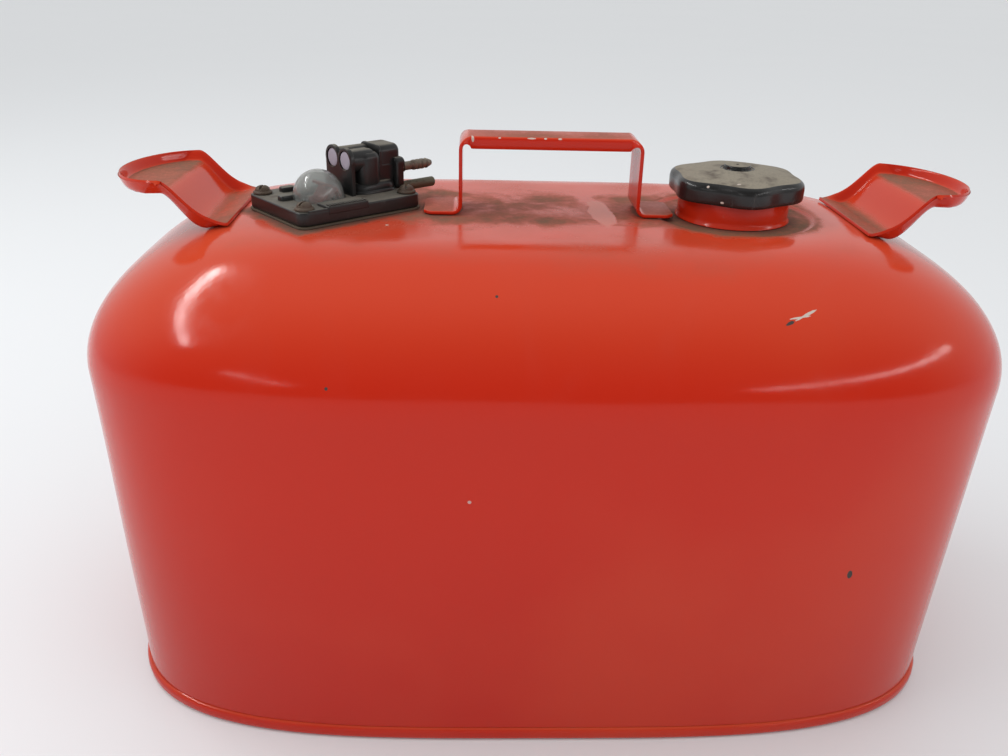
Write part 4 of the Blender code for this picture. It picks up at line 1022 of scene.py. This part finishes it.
def plug(name, node, v):
    # A disc with a rounded rim and a slightly domed face
    face = unit["faceU"]
    r = unit["pocket"] - 0.3
    section = [(0, 0.2), (3.0, 0.25), (r - 0.3, 0.4), (r, 0.7), (r, 1.6), (0, 1.6)]
    obj = turnedPiece(name, section, unitFrame @ frameAt((face, v, unit["barrelW"]), 0, "X"), 64,
                      0.3)
    return finish(stands(obj, "tank", "plug_plastic", node), "plug")


def outlet():
    # The nipple's barbs and the plain pin, both turned about their own axes
    tip, out = 60.2, unit["outletFace"]
    section = [(1.0, tip), (1.4, tip - 0.1), (2.1, tip - 2.0), (2.75, tip - 3.6), (2.3, tip - 3.9)]
    for k in range(3):
        top = tip - 5.0 - 2.6 * k
        section += [(2.3, top), (2.7, top - 0.5), (2.7, top - 1.9), (2.3, top - 2.1)]
    collar = out + 0.3
    section += [(2.3, collar + 0.8), (2.9, collar + 0.6), (2.9, collar), (2.2, collar),
                (2.2, collar - 6.2), (1.0, collar - 6.2)]
    f = unitFrame @ frameAt((0, unit["nippleV"], unit["nippleW"]), 0, "X")
    nipple = turnedPiece("nipple", section, f, 40, 0.2, True)
    finish(stands(nipple, "tank", "zinc_steel", "fuel_nipple"), "dullNipple")
    f = unitFrame @ frameAt((0, unit["nippleV"], unit["pinW"]), 0, "X")
    section = [(0, 61.8), (2.0, 61.8), (2.6, 61.2), (2.6, out - 4.6), (0, out - 4.6)]
    pin = turnedPiece("pin", section, f, 40, 0.35)
    finish(stands(pin, "tank", "zinc_steel", "guide_pin"), "dullPin")


unitBody()
lensDome()
for k, place in enumerate(unit["screws"]):
    screw(k + 1, place, unit["slots"][k])
plug("plugFront", "bore_plug_front", unit["towerV"] - unit["barrelGap"] / 2)
plug("plugBack", "bore_plug_back", unit["towerV"] + unit["barrelGap"] / 2)
outlet()
print("gauge and outlet unit built")


# Finishes of the solids that show as they are

kept = {
    "rubber": ["cap_gasket", "vent_disc", "lens_seal"],
    "dirtyGasket": ["housing_gasket"],
    "zinc": ["cap_stud", "cap_lock_bar", "cap_spring", "vent_spring", "pickup_screen",
             "gauge_bracket", "bracket_screw", "float_arm"],
    "brass": ["pickup_tube"],
    "cork": ["float"],
    "dial": ["gauge_indicator"],
}
for name, nodes in kept.items():
    for node in nodes:
        finish(frame["nodes"][node], name)


# Floor, light and camera

stageLook = {"floor": (0.79, 0.81, 0.83), "half": 12000.0, "cells": 13}


def makeStage():
    # A wide level sheet with no wall, so that the tank shows from every side
    line = np.linspace(stageLook["half"], -stageLook["half"], stageLook["cells"])
    points = np.stack(np.broadcast_arrays(line[None, :], line[:, None], np.zeros((1, 1))), -1)
    faces = gridFaces(len(line), len(line), False).tolist()
    sheet = meshPiece("paleFloor", points.reshape(-1, 3), faces)
    made, t, shader = material("paleSheet", stageLook["floor"], 0.6)
    tone = t.rise(t.noise(t.place(), 1.5, 2.0), 0.3, 0.7, 0.56, 0.64)
    t.tree.links.new(tone, shader.inputs["Roughness"])
    sheet.data.materials.append(made)


def tube(name, start, end, width, radiance, height=1.5):
    # A long thin strip overhead that faces the tank; power is radiance times pi times the area
    start, end = Vector((*start, height)), Vector((*end, height))
    middle, run = (start + end) / 2, end - start
    lamp = bpy.data.lights.new(name, "AREA")
    lamp.shape = "RECTANGLE"
    lamp.size, lamp.size_y = run.length, width
    lamp.energy = radiance * math.pi * run.length * width
    obj = bpy.data.objects.new(name, lamp)
    bpy.context.scene.collection.objects.link(obj)
    along = run.normalized()
    back = middle - Vector((0, 0, 0.15))
    back = (back - along * back.dot(along)).normalized()
    turn = Matrix((along, back.cross(along), back)).transposed().to_4x4()
    obj.matrix_world = Matrix.Translation(middle) @ turn
    return obj


def makeLight():
    # Three tubes, and a room that is brighter above. Camera and glass rays see a pale room, and
    # mirror rays one that is darker overhead and towards the viewer
    tube("tubeRight", (2.8, -0.4), (2.8, -6.5), 0.10, 13)
    tube("tubeLeft", (-0.95, 0.8), (-1.9, -1.1), 0.07, 29)
    tube("tubeFar", (-2.75, -3.4), (-3.1, -7.0), 0.10, 10)
    world = bpy.data.worlds.new("room")
    bpy.context.scene.world = world
    world.use_nodes = True
    t = Tree(world.node_tree)
    background = world.node_tree.nodes["Background"]
    rays = t.add("ShaderNodeLightPath").outputs
    ahead, up = t.split(t.add("ShaderNodeTexCoord").outputs["Generated"])[1:]
    glow = t.sum("ADD", t.rise(up, -0.3, 0.1, 0.27, 0.55), t.rise(up, 0.1, 1.0, 0.0, 0.50))
    mirror = t.sum("MULTIPLY", t.rise(ahead, -0.75, 0.15, 0.16, 0.74),
                   t.rise(up, 0.35, 0.9, 1.0, 0.62))
    pale = t.sum("MAXIMUM", rays["Is Camera Ray"], rays["Is Transmission Ray"])
    level = t.blendNumber(rays["Is Glossy Ray"], glow, mirror)
    level = t.blendNumber(pale, level, 0.78)
    t.tree.links.new(level, background.inputs["Strength"])
    background.inputs["Color"].default_value = (1, 1, 1, 1)


def makeCamera():
    camera = bpy.data.cameras.new("camera")
    obj = bpy.data.objects.new("camera", camera)
    bpy.context.scene.collection.objects.link(obj)
    camera.sensor_width = 36.0
    camera.lens = 32.73
    pitch, yaw, roll = 0.4381, 0.0388, 0.0275
    ahead = Vector((math.sin(yaw) * math.cos(pitch), math.cos(yaw) * math.cos(pitch),
                    -math.sin(pitch)))
    right = Vector((math.cos(yaw), -math.sin(yaw), 0))
    up = right.cross(ahead)
    across = math.cos(roll) * right + math.sin(roll) * up
    above = -math.sin(roll) * right + math.cos(roll) * up
    turn = Matrix((across, above, -ahead)).transposed().to_4x4()
    obj.matrix_world = Matrix.Translation((-0.03856, -0.47253, 0.36972)) @ turn
    bpy.context.scene.camera = obj


makeStage()
makeLight()
makeCamera()
bpy.context.scene.view_settings.view_transform = "Standard"
print("stage, light and camera set")
